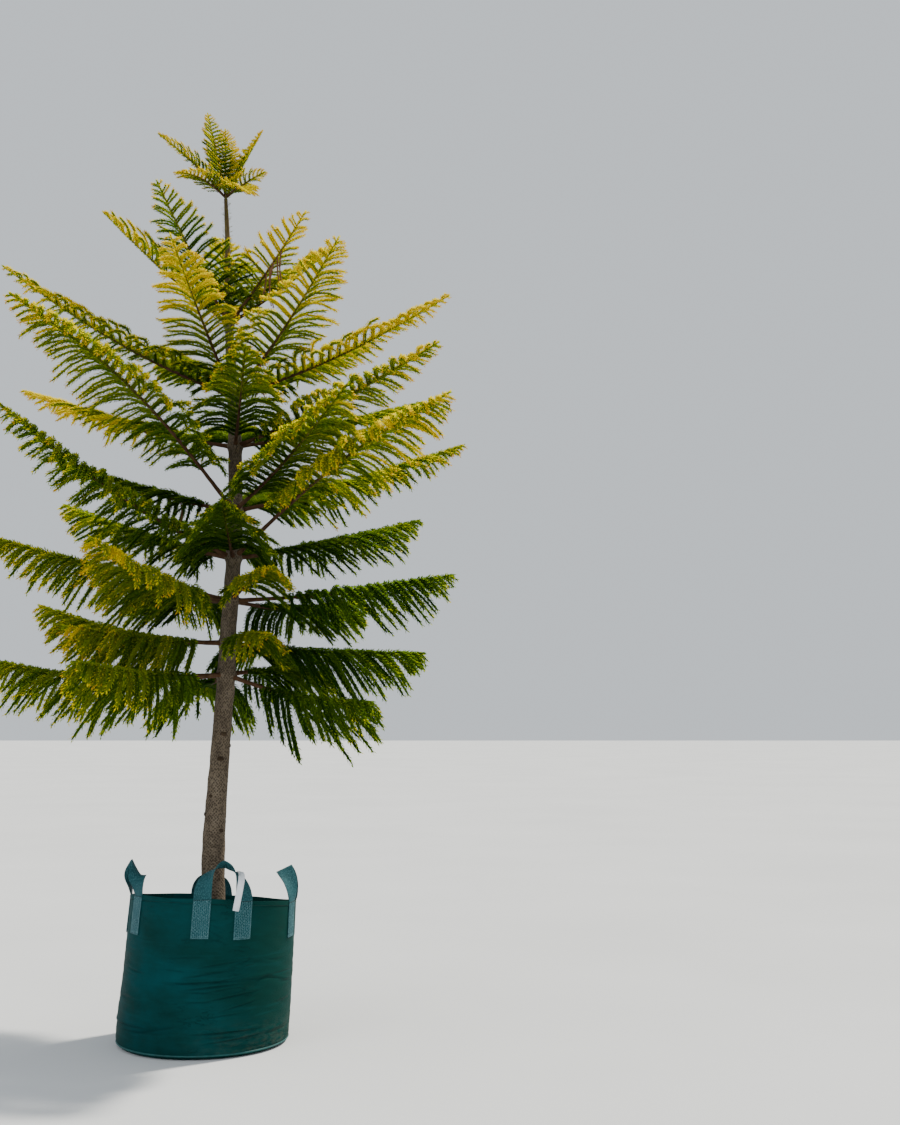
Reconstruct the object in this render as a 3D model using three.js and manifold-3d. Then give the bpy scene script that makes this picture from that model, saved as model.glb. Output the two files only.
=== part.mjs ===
// A young Norfolk Island pine that stands in a woven grow bag with four webbing handles.
// Millimetres, +Z up. The origin is the centre of the bag's flat underside, and -Y is the front.
import * as THREE from "three";
import { mergeVertices } from "three/addons/utils/BufferGeometryUtils.js";
import Module from "manifold-3d";

// Grow bag: a 200 litre cup of woven cloth whose rim has leaned to the right, and sunk there and at the back
const BAG_RADIUS = 323;
const BAG_RIM_RADIUS = 307;
const BAG_HEIGHT = 545;
const BAG_BACK_SINK = 35;
const BAG_SIDE_SINK = 14;
const BAG_RIM_SHIFT = 44;
const BAG_WALL = 5;
const BAG_SEGMENTS = 36;
const BAG_TAPER_START = 124;

// The bag's rounded foot, outside and inside: inset from the bag's radius, height
const BAG_FOOT_OUTSIDE = [[26, 0], [8, 8], [0, 28]];
const BAG_FOOT_INSIDE = [[30, BAG_WALL], [13, 12], [BAG_WALL, 28]];

// Potting mix, mounded a little round the foot of the trunk
const MOUND_HEIGHT = 488;
const MOUND_RADIUS = 75;
const MIX_EDGE_HEIGHT = 468;
const MIX_EDGE_INSET = 1.7;

// Webbing handles: each is one strap sewn down the wall on both sides of its loop
const STRAP_WIDTH = 66;
const STRAP_THICKNESS = 3;
const STRAP_SEWN_LENGTH = 136;
const LOOP_NARROWING = 1.3;
const STRAP_SEWN_STEPS = 2;
const STRAP_LOOP_STEPS = 14;

// Each handle's place on the rim in degrees from +X, the spacing of its legs, and its loop's rise,
// inward lean, sway to the side and twist in degrees
const HANDLES = {
  front: { angle: -74.2, spacing: 150, rise: 126, lean: 6, sway: 3, twist: 118 },
  right: { angle: 3, spacing: 150, rise: 121, lean: 35, sway: 0, twist: 115 },
  back: { angle: 101.5, spacing: 98, rise: 104, lean: 10, sway: 0, twist: 115 },
  left: { angle: 202.5, spacing: 150, rise: 101, lean: 5, sway: 0, twist: 155 },
};

// Plant tag, hooked over the front handle near its right shoulder and leaning to the left
const TAG_WIDTH = 23;
const TAG_THICKNESS = 1.2;
const TAG_HANGING_LENGTH = 106;
const TAG_PLACE = 0.74;
const TAG_LEAN = 11;
const TAG_STEPS = 24;

// The gap between two pieces that touch
const SEAT_GAP = 0.3;

// Trunk from its cut foot to its tip: height, sideways place of its centre, diameter
const TRUNK_COURSE = [
  { height: MOUND_HEIGHT + SEAT_GAP, shift: 31, diameter: 108 },
  { height: 530, shift: 36, diameter: 97 },
  { height: 720, shift: 41, diameter: 87 },
  { height: 1150, shift: 71, diameter: 71 },
  { height: 1390, shift: 90, diameter: 67 },
  { height: 1520, shift: 96, diameter: 62 },
  { height: 1830, shift: 117, diameter: 56 },
  { height: 2255, shift: 123, diameter: 50 },
  { height: 2445, shift: 115, diameter: 43 },
  { height: 2720, shift: 100, diameter: 30 },
  { height: 3060, shift: 94, diameter: 19 },
  { height: 3189, shift: 88, diameter: 14 },
];
const TRUNK_SIDES = 12;
const TRUNK_END_BAND = 12;

// Whorls from the top down. Each bough has its azimuth (degrees from +X, with -90 at the front),
// its reach from the trunk's axis to its tip, the rise of that line in degrees, its arch as a
// share of the reach (below zero it sags and turns up again), and the share near the trunk that is bare
const TOP_FRONDS = [
  { azimuth: 125, reach: 160, rise: 67, arch: 0.02 },
  { azimuth: 100, reach: 150, rise: 65, arch: 0.03 },
  { azimuth: -170, reach: 250, rise: 42, arch: 0.06 },
  { azimuth: -128, reach: 240, rise: 6, arch: 0.1 },
  { azimuth: 35, reach: 155, rise: 62, arch: 0.02 },
  { azimuth: -12, reach: 158, rise: 29, arch: 0.04 },
  { azimuth: -58, reach: 225, rise: -14, arch: 0.12 },
];
const TOP_HEIGHT = 3201;
const WHORLS = [
  {
    name: "whorl_2",
    height: 2720,
    boughs: [
      { side: "left", azimuth: 178, reach: 480, rise: 42, arch: -0.04, bare: 0.08 },
      { side: "front_left", azimuth: -112, reach: 480, rise: 38, arch: -0.03, bare: 0.08 },
      { side: "front_right", azimuth: -42, reach: 430, rise: 37, arch: -0.03, bare: 0.08 },
      { side: "back_right", azimuth: 30, reach: 430, rise: 40, arch: -0.03, bare: 0.08 },
      { side: "back", azimuth: 102, reach: 460, rise: 46, arch: -0.03, bare: 0.08 },
    ],
  },
  {
    name: "whorl_3",
    height: 2445,
    boughs: [
      { side: "left", azimuth: -160, reach: 830, rise: 26, arch: -0.05, bare: 0.1 },
      { side: "front", azimuth: -100, reach: 640, rise: 32, arch: -0.02, bare: 0.1 },
      { side: "front_right", azimuth: -55, reach: 790, rise: 26, arch: -0.04, bare: 0.26 },
      { side: "right", azimuth: -8, reach: 830, rise: 23, arch: -0.04, bare: 0.1 },
      { side: "back_right", azimuth: 52, reach: 780, rise: 25, arch: -0.04, bare: 0.1 },
      { side: "back", azimuth: 120, reach: 800, rise: 25, arch: -0.04, bare: 0.1 },
    ],
  },
  {
    name: "whorl_4",
    height: 2255,
    boughs: [
      { side: "left", azimuth: 170, reach: 860, rise: 16, arch: -0.04, bare: 0.14 },
      { side: "front", azimuth: -78, reach: 600, rise: 21, arch: -0.03, bare: 0.14 },
      { side: "right", azimuth: -26, reach: 860, rise: 19, arch: -0.03, bare: 0.14 },
      { side: "back_right", azimuth: 34, reach: 840, rise: 18, arch: -0.03, bare: 0.14 },
      { side: "back", azimuth: 98, reach: 820, rise: 18, arch: -0.03, bare: 0.14 },
    ],
  },
  {
    name: "whorl_5",
    height: 2010,
    boughs: [
      { side: "left", azimuth: 166, reach: 740, rise: 17, arch: -0.03, bare: 0.16 },
      { side: "front_left", azimuth: -126, reach: 1010, rise: 30, arch: 0.08, bare: 0.16 },
      { side: "front_right", azimuth: -54, reach: 820, rise: 22, arch: -0.03, bare: 0.16 },
      { side: "right", azimuth: 14, reach: 900, rise: 18, arch: -0.03, bare: 0.16 },
      { side: "back", azimuth: 84, reach: 880, rise: 17, arch: -0.03, bare: 0.16 },
    ],
  },
  {
    name: "whorl_6",
    height: 1830,
    boughs: [
      { side: "left", azimuth: -144, reach: 900, rise: 28, arch: -0.05, bare: 0.18 },
      { side: "front", azimuth: -86, reach: 460, rise: 18, arch: -0.03, bare: 0.2 },
      { side: "front_right", azimuth: -38, reach: 1040, rise: 25, arch: 0.05, bare: 0.26 },
      { side: "back_right", azimuth: 40, reach: 900, rise: 14, arch: -0.02, bare: 0.18 },
      { side: "back", azimuth: 104, reach: 900, rise: 14, arch: -0.02, bare: 0.18 },
      { side: "back_left", azimuth: 150, reach: 880, rise: 17, arch: -0.03, bare: 0.18 },
    ],
  },
  {
    name: "whorl_7",
    height: 1670,
    boughs: [
      { side: "left", azimuth: -167, reach: 960, rise: 14, arch: -0.01, bare: 0.2 },
      { side: "front_left", azimuth: -122, reach: 710, rise: 13, arch: -0.07, bare: 0.26 },
      { side: "front", azimuth: -54, reach: 330, rise: 17, arch: 0.04, bare: 0.2 },
      { side: "right", azimuth: -14, reach: 870, rise: 5, arch: -0.02, bare: 0.28 },
      { side: "back_right", azimuth: 60, reach: 860, rise: 4, arch: -0.04, bare: 0.2 },
      { side: "back", azimuth: 126, reach: 880, rise: 8, arch: -0.03, bare: 0.2 },
    ],
  },
  {
    name: "whorl_8",
    height: 1510,
    boughs: [
      { side: "left", azimuth: 162, reach: 830, rise: 11, arch: -0.05, bare: 0.22 },
      { side: "front_left", azimuth: -148, reach: 620, rise: 4, arch: -0.03, bare: 0.2 },
      { side: "front", azimuth: -50, reach: 290, rise: 4, arch: 0.04, bare: 0.2 },
      { side: "right", azimuth: 2, reach: 740, rise: -3, arch: -0.02, bare: 0.28 },
      { side: "back", azimuth: 84, reach: 800, rise: 3, arch: -0.04, bare: 0.2 },
    ],
  },
  {
    name: "whorl_9",
    height: 1390,
    boughs: [
      { side: "left", azimuth: 178, reach: 960, rise: 4, arch: -0.05, bare: 0.28 },
      { side: "front_left", azimuth: -126, reach: 720, rise: 2, arch: -0.03, bare: 0.26 },
      { side: "right", azimuth: -22, reach: 610, rise: -10, arch: -0.05, bare: 0.28 },
      { side: "back_right", azimuth: 40, reach: 440, rise: 2, arch: 0.03, bare: 0.2 },
      { side: "back", azimuth: 112, reach: 800, rise: 0, arch: -0.04, bare: 0.2 },
    ],
  },
];

// Growth rule. A pair of values runs from the highest whorl to the lowest
const LIMB_BARE_SHARE = 0.25;
const LIMB_SIDES = 6;
const LIMB_RADIUS = [6, 10];
const LIMB_TAPER = 0.72;
const STEM_RADIUS = [5, 8];
const STEM_TIP_RADIUS = 4;
const STEM_STEPS = 5;
const SPRAY_SPACING = 125;
const TUFT_SPRAY_SPACING = 52;
const SPRAY_LENGTH = [245, 260];
const TUFT_SPRAY_LENGTH = 88;
const TUFT_SPRAY_VEE = 30;
const SPRAY_VEE = [54, 12];
const SPRAY_DROOP = [0.42, 0.92];
const SPRAY_FORWARD = [70, 42];
const FORWARD_BEND = 14;
const SPRAY_HALF_WIDTH = 26;
const SPRAY_THICKNESS = 21;
const SPRAY_SINK = 3;
const SHORT_SPRAY_SHARE = 0.6;
const TEETH_AT = 0.38;
const TEETH_END = 0.45;
const CORE_WIDTH_SHARE = 0.55;
const CORE_THICKNESS_SHARE = 0.7;
const FORWARD_SCATTER = 8;
const VEE_SCATTER = 12;
const LENGTH_SCATTER = [0.92, 1.08];
const SPRAY_STAGGER = 0.25;
const LAST_SPRAY_AT = 0.97;
const SHORTER_SHARES = [1, 0.8, 0.62, 0.46];

// The outline of a frond: sprays lengthen to its widest place, then shorten to its tip
const FROND_ROOT_SHARE = 0.55;
const FROND_WIDEST = 0.25;
const FROND_TIP_LOSS = 0.8;
const FROND_TIP_POWER = 2.2;
const FULL_FROND_REACH = 480;

// The stub of the top tuft, root and tip, and the seeds of the rule
const TUFT_STUB_RADIUS = [6.5, 5.5];
const TUFT_STUB_RISE = 8;
const TUFT_BARE_SHARE = 0.12;
const TUFT_SEED = 11;
const MASS_SEED = 100;

// The space of one mass: places along a spray that are tested, and the share of its width there
const SPACE_MARGIN = 3;
const SPACE_TESTS = [
  { at: 0.38, widthShare: 1 },
  { at: 0.7, widthShare: 0.5 },
  { at: 1, widthShare: 0 },
];
const LEAST_SPRAY_LENGTH = 34;
const COURSE_SAMPLES = 40;

const UP = new THREE.Vector3(0, 0, 1);
const degrees = THREE.MathUtils.degToRad;
const { lerp, smoothstep } = THREE.MathUtils;

const wasm = await Module();
wasm.setup();

// Solids and meshes

// Leaves only shared positions, and drops the flat triangles that a lathe makes on its axis
function onlyPositions(geometry) {
  geometry.deleteAttribute("normal");
  geometry.deleteAttribute("uv");
  const merged = mergeVertices(geometry);
  const index = merged.getIndex().array;
  const kept = [];
  for (let i = 0; i < index.length; i += 3) {
    const corners = [index[i], index[i + 1], index[i + 2]];
    if (new Set(corners).size === 3) {
      kept.push(...corners);
    }
  }
  merged.setIndex(kept);
  return merged;
}

function toSolid(geometry) {
  const vertProperties = Float32Array.from(geometry.getAttribute("position").array);
  const triVerts = Uint32Array.from(geometry.getIndex().array);
  return new wasm.Manifold(new wasm.Mesh({ numProp: 3, vertProperties, triVerts }));
}

function toGeometry(solid) {
  const mesh = solid.getMesh();
  const geometry = new THREE.BufferGeometry();
  geometry.setAttribute("position", new THREE.BufferAttribute(mesh.vertProperties, 3));
  geometry.setIndex(new THREE.BufferAttribute(mesh.triVerts, 1));
  return geometry;
}

// Bends a closed turned form along a curve. Each ring has its place on the curve and its half
// sizes, and the first and last are points on the curve
function bendAlong(curve, rings, sides, up) {
  const profile = rings.map(({ width }, row) => new THREE.Vector2(Math.sign(width), row));
  const geometry = onlyPositions(new THREE.LatheGeometry(profile, sides));
  const position = geometry.getAttribute("position");
  const local = new THREE.Vector3();
  for (let i = 0; i < position.count; i += 1) {
    local.fromBufferAttribute(position, i);
    const ring = rings[Math.round(local.y)];
    const tangent = curve.getTangent(ring.at);
    const lift = up.clone().addScaledVector(tangent, -up.dot(tangent)).normalize();
    const across = tangent.clone().cross(lift);
    const place = curve.getPoint(ring.at);
    place.addScaledVector(across, local.x * ring.width);
    place.addScaledVector(lift, local.z * ring.height);
    position.setXYZ(i, place.x, place.y, place.z);
  }
  return geometry;
}

function ringAt(at, width, height = width) {
  return { at, width, height };
}

// Bends a flat strip: course(u) gives the centre, the direction across and the outward face.
// Its two broad faces are split along the same diagonals, so a twist leaves it its thickness
const STRIP_CORNERS = [[-0.5, -0.5], [0.5, -0.5], [0.5, 0.5], [-0.5, 0.5]];

function bendStrip(course, width, thickness, steps) {
  const places = [];
  const index = [];
  for (let step = 0; step <= steps; step += 1) {
    const { centre, across, outward } = course(step / steps);
    for (const [side, face] of STRIP_CORNERS) {
      const place = centre.clone();
      place.addScaledVector(across, side * width);
      place.addScaledVector(outward, face * thickness);
      places.push(place);
    }
  }
  for (let step = 0; step < steps; step += 1) {
    const [inLeft, inRight, outRight, outLeft] = STRIP_CORNERS.map((_, corner) => 4 * step + corner);
    index.push(inLeft, inRight, inRight + 4, inLeft, inRight + 4, inLeft + 4);
    index.push(inRight, outRight, outRight + 4, inRight, outRight + 4, inRight + 4);
    index.push(outRight, outLeft, outRight + 4, outLeft, outLeft + 4, outRight + 4);
    index.push(outLeft, inLeft, inLeft + 4, outLeft, inLeft + 4, outLeft + 4);
  }
  const last = 4 * steps;
  index.push(0, 2, 1, 0, 3, 2);
  index.push(last, last + 1, last + 2, last, last + 2, last + 3);
  return new THREE.BufferGeometry().setFromPoints(places).setIndex(index);
}

// Grow bag, potting mix and handles

// The bag's own lean and tilt, applied to a point of the upright round bag
function settleInBag(point) {
  const share = point.z / BAG_HEIGHT;
  const sink = (BAG_BACK_SINK * point.y + BAG_SIDE_SINK * point.x) / BAG_RADIUS;
  return new THREE.Vector3(point.x + BAG_RIM_SHIFT * share, point.y, point.z - share * sink);
}

// The height in the upright bag that comes out level at the given height once the bag has tilted
function levelHeight(point) {
  const sink = (BAG_BACK_SINK * point.y + BAG_SIDE_SINK * point.x) / BAG_RADIUS;
  return point.z / (1 - sink / BAG_HEIGHT);
}

function bagRadius(height) {
  const taper = (height - BAG_TAPER_START) / (BAG_HEIGHT - BAG_TAPER_START);
  return lerp(BAG_RADIUS, BAG_RIM_RADIUS, Math.max(0, taper));
}

function settledLathe(profile, levelFrom = Infinity) {
  const points = profile.map(([radius, height]) => new THREE.Vector2(radius, height));
  const geometry = onlyPositions(new THREE.LatheGeometry(points, BAG_SEGMENTS));
  geometry.rotateX(Math.PI / 2);
  const position = geometry.getAttribute("position");
  const local = new THREE.Vector3();
  for (let i = 0; i < position.count; i += 1) {
    local.fromBufferAttribute(position, i);
    if (local.z > levelFrom) {
      local.z = levelHeight(local);
    }
    const place = settleInBag(local);
    position.setXYZ(i, place.x, place.y, place.z);
  }
  return geometry;
}

function growBag() {
  const outerFoot = BAG_FOOT_OUTSIDE.map(([inset, height]) => [BAG_RADIUS - inset, height]);
  const innerFoot = BAG_FOOT_INSIDE.map(([inset, height]) => [BAG_RADIUS - inset, height]);
  return settledLathe([
    [0, 0],
    ...outerFoot,
    [BAG_RADIUS, BAG_TAPER_START],
    [BAG_RIM_RADIUS, BAG_HEIGHT],
    [BAG_RIM_RADIUS - BAG_WALL, BAG_HEIGHT],
    [BAG_RADIUS - BAG_WALL, BAG_TAPER_START],
    ...innerFoot.reverse(),
    [0, BAG_WALL],
  ]);
}

// The mix fills the bag to just under its sunken back rim, a seat gap clear of the cloth
function pottingMix() {
  const wallInset = BAG_WALL + SEAT_GAP;
  const foot = BAG_FOOT_INSIDE.map(([inset, height]) =>
    [BAG_RADIUS - inset - SEAT_GAP, height + SEAT_GAP]);
  const profile = [
    [0, wallInset],
    ...foot,
    [BAG_RADIUS - wallInset, BAG_TAPER_START],
    [bagRadius(MIX_EDGE_HEIGHT) - wallInset - MIX_EDGE_INSET, MIX_EDGE_HEIGHT],
    [MOUND_RADIUS, MOUND_HEIGHT],
    [0, MOUND_HEIGHT],
  ];
  return settledLathe(profile, MIX_EDGE_HEIGHT - MIX_EDGE_INSET);
}

const STRAP_STEPS = 2 * STRAP_SEWN_STEPS + STRAP_LOOP_STEPS;

// A strap's course up the wall, round its loop and down the wall again
function strapCourse({ angle: handleAngle, spacing, rise: loopRise, lean, sway, twist }) {
  const legAngle = spacing / 2 / BAG_RIM_RADIUS;
  const outset = SEAT_GAP + STRAP_THICKNESS / 2;
  const middle = degrees(handleAngle);
  const radial = new THREE.Vector3(Math.cos(middle), Math.sin(middle), 0);
  const along = UP.clone().cross(radial);
  const sewnShare = STRAP_SEWN_STEPS / STRAP_STEPS;

  function onWall(sign, height) {
    const angle = middle + sign * legAngle;
    const outward = new THREE.Vector3(Math.cos(angle), Math.sin(angle), 0);
    const reach = bagRadius(height) + outset;
    const upright = new THREE.Vector3(outward.x * reach, outward.y * reach, height);
    const across = UP.clone().cross(outward).multiplyScalar(sign);
    return { centre: settleInBag(upright), across, outward };
  }

  return (u) => {
    if (u <= sewnShare) {
      return onWall(-1, BAG_HEIGHT - STRAP_SEWN_LENGTH * (1 - u / sewnShare));
    }
    if (u >= 1 - sewnShare) {
      return onWall(1, BAG_HEIGHT - STRAP_SEWN_LENGTH * (1 - (1 - u) / sewnShare));
    }
    const turn = (Math.PI * (u - sewnShare)) / (1 - 2 * sewnShare);
    const foot = onWall(turn < Math.PI / 2 ? -1 : 1, BAG_HEIGHT);
    const otherFoot = onWall(turn < Math.PI / 2 ? 1 : -1, BAG_HEIGHT);
    const middleFoot = foot.centre.clone().add(otherFoot.centre).multiplyScalar(0.5);
    const half = foot.centre.clone().sub(middleFoot);
    const rise = Math.sin(turn);
    const spread = Math.abs(Math.cos(turn)) ** LOOP_NARROWING;
    const centre = middleFoot.addScaledVector(half, spread);
    centre.addScaledVector(UP, loopRise * rise);
    centre.addScaledVector(radial, -lean * rise * rise);
    centre.addScaledVector(along, sway * rise * rise);
    const tangent = along.clone().multiplyScalar(rise).addScaledVector(UP, Math.cos(turn));
    const across = foot.across.clone().multiplyScalar(spread);
    across.addScaledVector(UP, rise * Math.cos(degrees(twist)));
    across.addScaledVector(radial, -rise * Math.sin(degrees(twist)));
    across.addScaledVector(tangent, -across.dot(tangent)).normalize();
    return { centre, across, outward: tangent.cross(across) };
  };
}

function handle(place) {
  return bendStrip(strapCourse(place), STRAP_WIDTH, STRAP_THICKNESS, STRAP_STEPS);
}

// The tag hooks over the strap's inner edge, crosses its upper face and hangs down in front.
// Each pair is a point's place outward and above the middle of the strap
const TAG_COURSE = [
  [-42, 12],
  [-38, 26],
  [-22, 27.5],
  [7, 24.7],
  [32, 12],
  [43, -8],
  [44, -40],
  [43, -TAG_HANGING_LENGTH],
];

function plantTag() {
  const strap = strapCourse(HANDLES.front)(TAG_PLACE);
  const middle = degrees(HANDLES.front.angle);
  const radial = new THREE.Vector3(Math.cos(middle), Math.sin(middle), 0);
  const lift = UP.clone().applyAxisAngle(radial, -degrees(TAG_LEAN));
  const across = lift.clone().cross(radial);
  const points = TAG_COURSE.map(([outset, rise]) =>
    strap.centre.clone().addScaledVector(radial, outset).addScaledVector(lift, rise));
  const line = new THREE.CatmullRomCurve3(points);
  return bendStrip(
    (u) => ({ centre: line.getPoint(u), across, outward: line.getTangent(u).cross(across) }),
    TAG_WIDTH,
    TAG_THICKNESS,
    TAG_STEPS,
  );
}

// Trunk

const trunkCurve = new THREE.CatmullRomCurve3(
  TRUNK_COURSE.map(({ height, shift }) => new THREE.Vector3(shift, 0, height)),
);

function trunkAt(height) {
  const above = TRUNK_COURSE.findIndex((row) => row.height >= height);
  const upper = TRUNK_COURSE[above === -1 ? TRUNK_COURSE.length - 1 : Math.max(above, 1)];
  const lower = TRUNK_COURSE[TRUNK_COURSE.indexOf(upper) - 1];
  const share = THREE.MathUtils.clamp(
    (height - lower.height) / (upper.height - lower.height), 0, 1);
  return {
    centre: new THREE.Vector3(lerp(lower.shift, upper.shift, share), 0, height),
    radius: lerp(lower.diameter, upper.diameter, share) / 2,
  };
}

// The trunk, or its shape grown by extraRadius to cut its neighbours clear. Both ends are level
function trunk(extraRadius) {
  const rings = TRUNK_COURSE.map(({ diameter }, index) =>
    ringAt(index / (TRUNK_COURSE.length - 1), diameter / 2 + extraRadius));
  const closed = [ringAt(0, 0), ...rings, ringAt(1, 0)];
  const geometry = bendAlong(trunkCurve, closed, TRUNK_SIDES, new THREE.Vector3(0, -1, 0));
  const foot = TRUNK_COURSE[0].height;
  const tip = TRUNK_COURSE.at(-1).height;
  const position = geometry.getAttribute("position");
  for (let i = 0; i < position.count; i += 1) {
    if (position.getZ(i) < foot + TRUNK_END_BAND) {
      position.setZ(i, foot);
    }
    if (position.getZ(i) > tip - TRUNK_END_BAND) {
      position.setZ(i, tip);
    }
  }
  return geometry;
}

// Boughs

// The line of one bough from the trunk's axis to its tip
class BoughLine extends THREE.Curve {
  constructor(start, bough) {
    super();
    this.start = start;
    this.bough = bough;
    const azimuth = degrees(bough.azimuth);
    this.heading = new THREE.Vector3(Math.cos(azimuth), Math.sin(azimuth), 0);
  }

  getPoint(at, target = new THREE.Vector3()) {
    const { reach, rise, arch } = this.bough;
    const climb = Math.tan(degrees(rise)) * at + arch * Math.sin(Math.PI * at);
    target.copy(this.start).addScaledVector(this.heading, reach * at);
    return target.addScaledVector(UP, reach * climb);
  }
}

function seededRandom(seed) {
  let state = seed >>> 0;
  return () => {
    state = (Math.imul(state, 1664525) + 1013904223) >>> 0;
    return state / 4294967296;
  };
}

const lowest = WHORLS.at(-1).height;

// The run of a bough is its length by the slope of its line, before the arch
function describeBough(whorlHeight, start, bough, name) {
  const low = (TOP_HEIGHT - whorlHeight) / (TOP_HEIGHT - lowest);
  const line = new BoughLine(start, bough);
  const run = bough.reach / Math.cos(degrees(bough.rise));
  const room = Math.min(1, bough.reach / FULL_FROND_REACH);
  const longest = lerp(...SPRAY_LENGTH, low) * room;
  const vee = lerp(...SPRAY_VEE, low);
  const samples = line.getPoints(COURSE_SAMPLES);
  return { ...bough, name, low, line, run, longest, vee, spacing: SPRAY_SPACING, samples };
}

const boughs = WHORLS.flatMap(({ name, height, boughs: rows }) =>
  rows.map((row) => describeBough(height, trunkAt(height).centre, row, `${name}_${row.side}`)),
);

const tuftStart = new THREE.Vector3(TRUNK_COURSE.at(-1).shift, 0, TOP_HEIGHT);
const tuftFronds = TOP_FRONDS.map((row) => ({
  ...describeBough(TOP_HEIGHT, tuftStart, { ...row, bare: TUFT_BARE_SHARE }, "top_tuft"),
  longest: TUFT_SPRAY_LENGTH,
  vee: TUFT_SPRAY_VEE,
  spacing: TUFT_SPRAY_SPACING,
}));

function nearest(point, samples) {
  return Math.min(...samples.map((sample) => sample.distanceTo(point)));
}

const allLines = [...boughs, ...tuftFronds];

// A mass keeps to the space that is nearer to its own line than to any other, clear of the trunk
function staysInSpace(curve, owner) {
  return SPACE_TESTS.every(({ at, widthShare }) => {
    const point = curve.getPoint(at);
    const halfWidth = widthShare * SPRAY_HALF_WIDTH;
    const stem = trunkAt(point.z);
    if (point.distanceTo(stem.centre) < stem.radius + halfWidth + SPACE_MARGIN) {
      return false;
    }
    const ownLines = allLines.filter((line) => line.name === owner.name);
    const otherLines = allLines.filter((line) => line.name !== owner.name);
    const own = Math.min(...ownLines.map((line) => nearest(point, line.samples)));
    const least = own + 2 * halfWidth + SPACE_MARGIN;
    return otherLines.every((line) => nearest(point, line.samples) > least);
  });
}

// The course of a spray: it leaves the line forward and up in a vee, then arches over and droops
function sprayCurve(bough, at, side, length, random) {
  const root = bough.line.getPoint(at);
  const tangent = bough.line.getTangent(at);
  const across = tangent.clone().cross(UP).normalize().multiplyScalar(side);
  const lift = UP.clone().addScaledVector(tangent, -UP.dot(tangent)).normalize();
  const forward = degrees(lerp(...SPRAY_FORWARD, at) + FORWARD_SCATTER * (random() - 0.5));
  const vee = degrees(bough.vee + VEE_SCATTER * (random() - 0.5));
  const outward = across.multiplyScalar(Math.cos(vee)).addScaledVector(lift, Math.sin(vee));
  const headingAt = (angle) => tangent.clone().multiplyScalar(Math.cos(angle))
    .addScaledVector(outward, Math.sin(angle));
  const heading = headingAt(forward);
  const settingOut = headingAt(forward + degrees(FORWARD_BEND));
  const droop = lerp(...SPRAY_DROOP, bough.low) * length;
  const bend = root.clone().addScaledVector(settingOut, length / 2);
  const tip = root.clone().addScaledVector(heading, length).addScaledVector(UP, -droop);
  root.addScaledVector(settingOut, -SPRAY_SINK);
  return new THREE.QuadraticBezierCurve3(root, bend, tip);
}

function sprayLength(bough, along) {
  const opening = lerp(FROND_ROOT_SHARE, 1, smoothstep(along, 0, FROND_WIDEST));
  const closing = 1 - FROND_TIP_LOSS * along ** FROND_TIP_POWER;
  return bough.longest * opening * closing;
}

// A spray of needles: a slim three-sided core that tapers both ways, with a ring of forward teeth
function spray(curve, share) {
  const size = lerp(SHORT_SPRAY_SHARE, 1, share);
  const width = SPRAY_HALF_WIDTH * size;
  const thickness = SPRAY_THICKNESS * size;
  const rings = [
    ringAt(0, 0),
    ringAt(TEETH_AT, width, thickness),
    ringAt(TEETH_END, CORE_WIDTH_SHARE * width, CORE_THICKNESS_SHARE * thickness),
    ringAt(1, 0),
  ];
  return bendAlong(curve, rings, 3, UP);
}

function growSprays(bough, random) {
  const stations = Math.max(2, Math.round((bough.run * (1 - bough.bare)) / bough.spacing));
  const sprays = [];
  for (let station = 0; station < stations; station += 1) {
    for (const side of [-1, 1]) {
      const stagger = SPRAY_STAGGER * side * (station % 2 ? 1 : -1);
      const along = (station + 0.5 + stagger) / stations;
      const at = lerp(bough.bare, LAST_SPRAY_AT, along);
      const full = sprayLength(bough, along) * lerp(...LENGTH_SCATTER, random());
      const draws = [random(), random()];
      const fitting = SHORTER_SHARES.map((share) => share * full).find((length) => {
        const drawn = draws.values();
        const curve = sprayCurve(bough, at, side, length, () => drawn.next().value);
        return length > LEAST_SPRAY_LENGTH && staysInSpace(curve, bough);
      });
      if (fitting === undefined) {
        continue;
      }
      const drawn = draws.values();
      const curve = sprayCurve(bough, at, side, fitting, () => drawn.next().value);
      sprays.push(spray(curve, fitting / SPRAY_LENGTH[1]));
    }
  }
  return sprays;
}

function stemRings(from, rootRadius) {
  const rings = [ringAt(from, 0)];
  for (let step = 0; step < STEM_STEPS; step += 1) {
    const share = step / STEM_STEPS;
    rings.push(ringAt(lerp(from, 1, share), lerp(rootRadius, STEM_TIP_RADIUS, share)));
  }
  rings.push(ringAt(1, 0));
  return rings;
}

// A mass of foliage: its stem and sprays in one solid, cut a seat gap clear of the trunk
function foliage(bough, seed, clearance) {
  const hasLimb = bough.bare >= LIMB_BARE_SHARE;
  const from = hasLimb ? bough.bare + SEAT_GAP / bough.line.getLength() : 0;
  const stem = bendAlong(bough.line, stemRings(from, lerp(...STEM_RADIUS, bough.low)), 3, UP);
  const sprays = growSprays(bough, seededRandom(seed));
  let solid = toSolid(stem);
  for (const blade of sprays) {
    solid = solid.add(toSolid(blade));
  }
  return hasLimb ? solid : solid.subtract(clearance);
}

function limb(bough, clearance) {
  const radius = lerp(...LIMB_RADIUS, bough.low);
  const rings = [0, 0.33, 0.67, 1].map((share) =>
    ringAt(bough.bare * share, lerp(radius, LIMB_TAPER * radius, share)));
  rings.unshift(ringAt(0, 0));
  rings.push(ringAt(bough.bare, 0));
  return toSolid(bendAlong(bough.line, rings, LIMB_SIDES, UP)).subtract(clearance);
}

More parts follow.
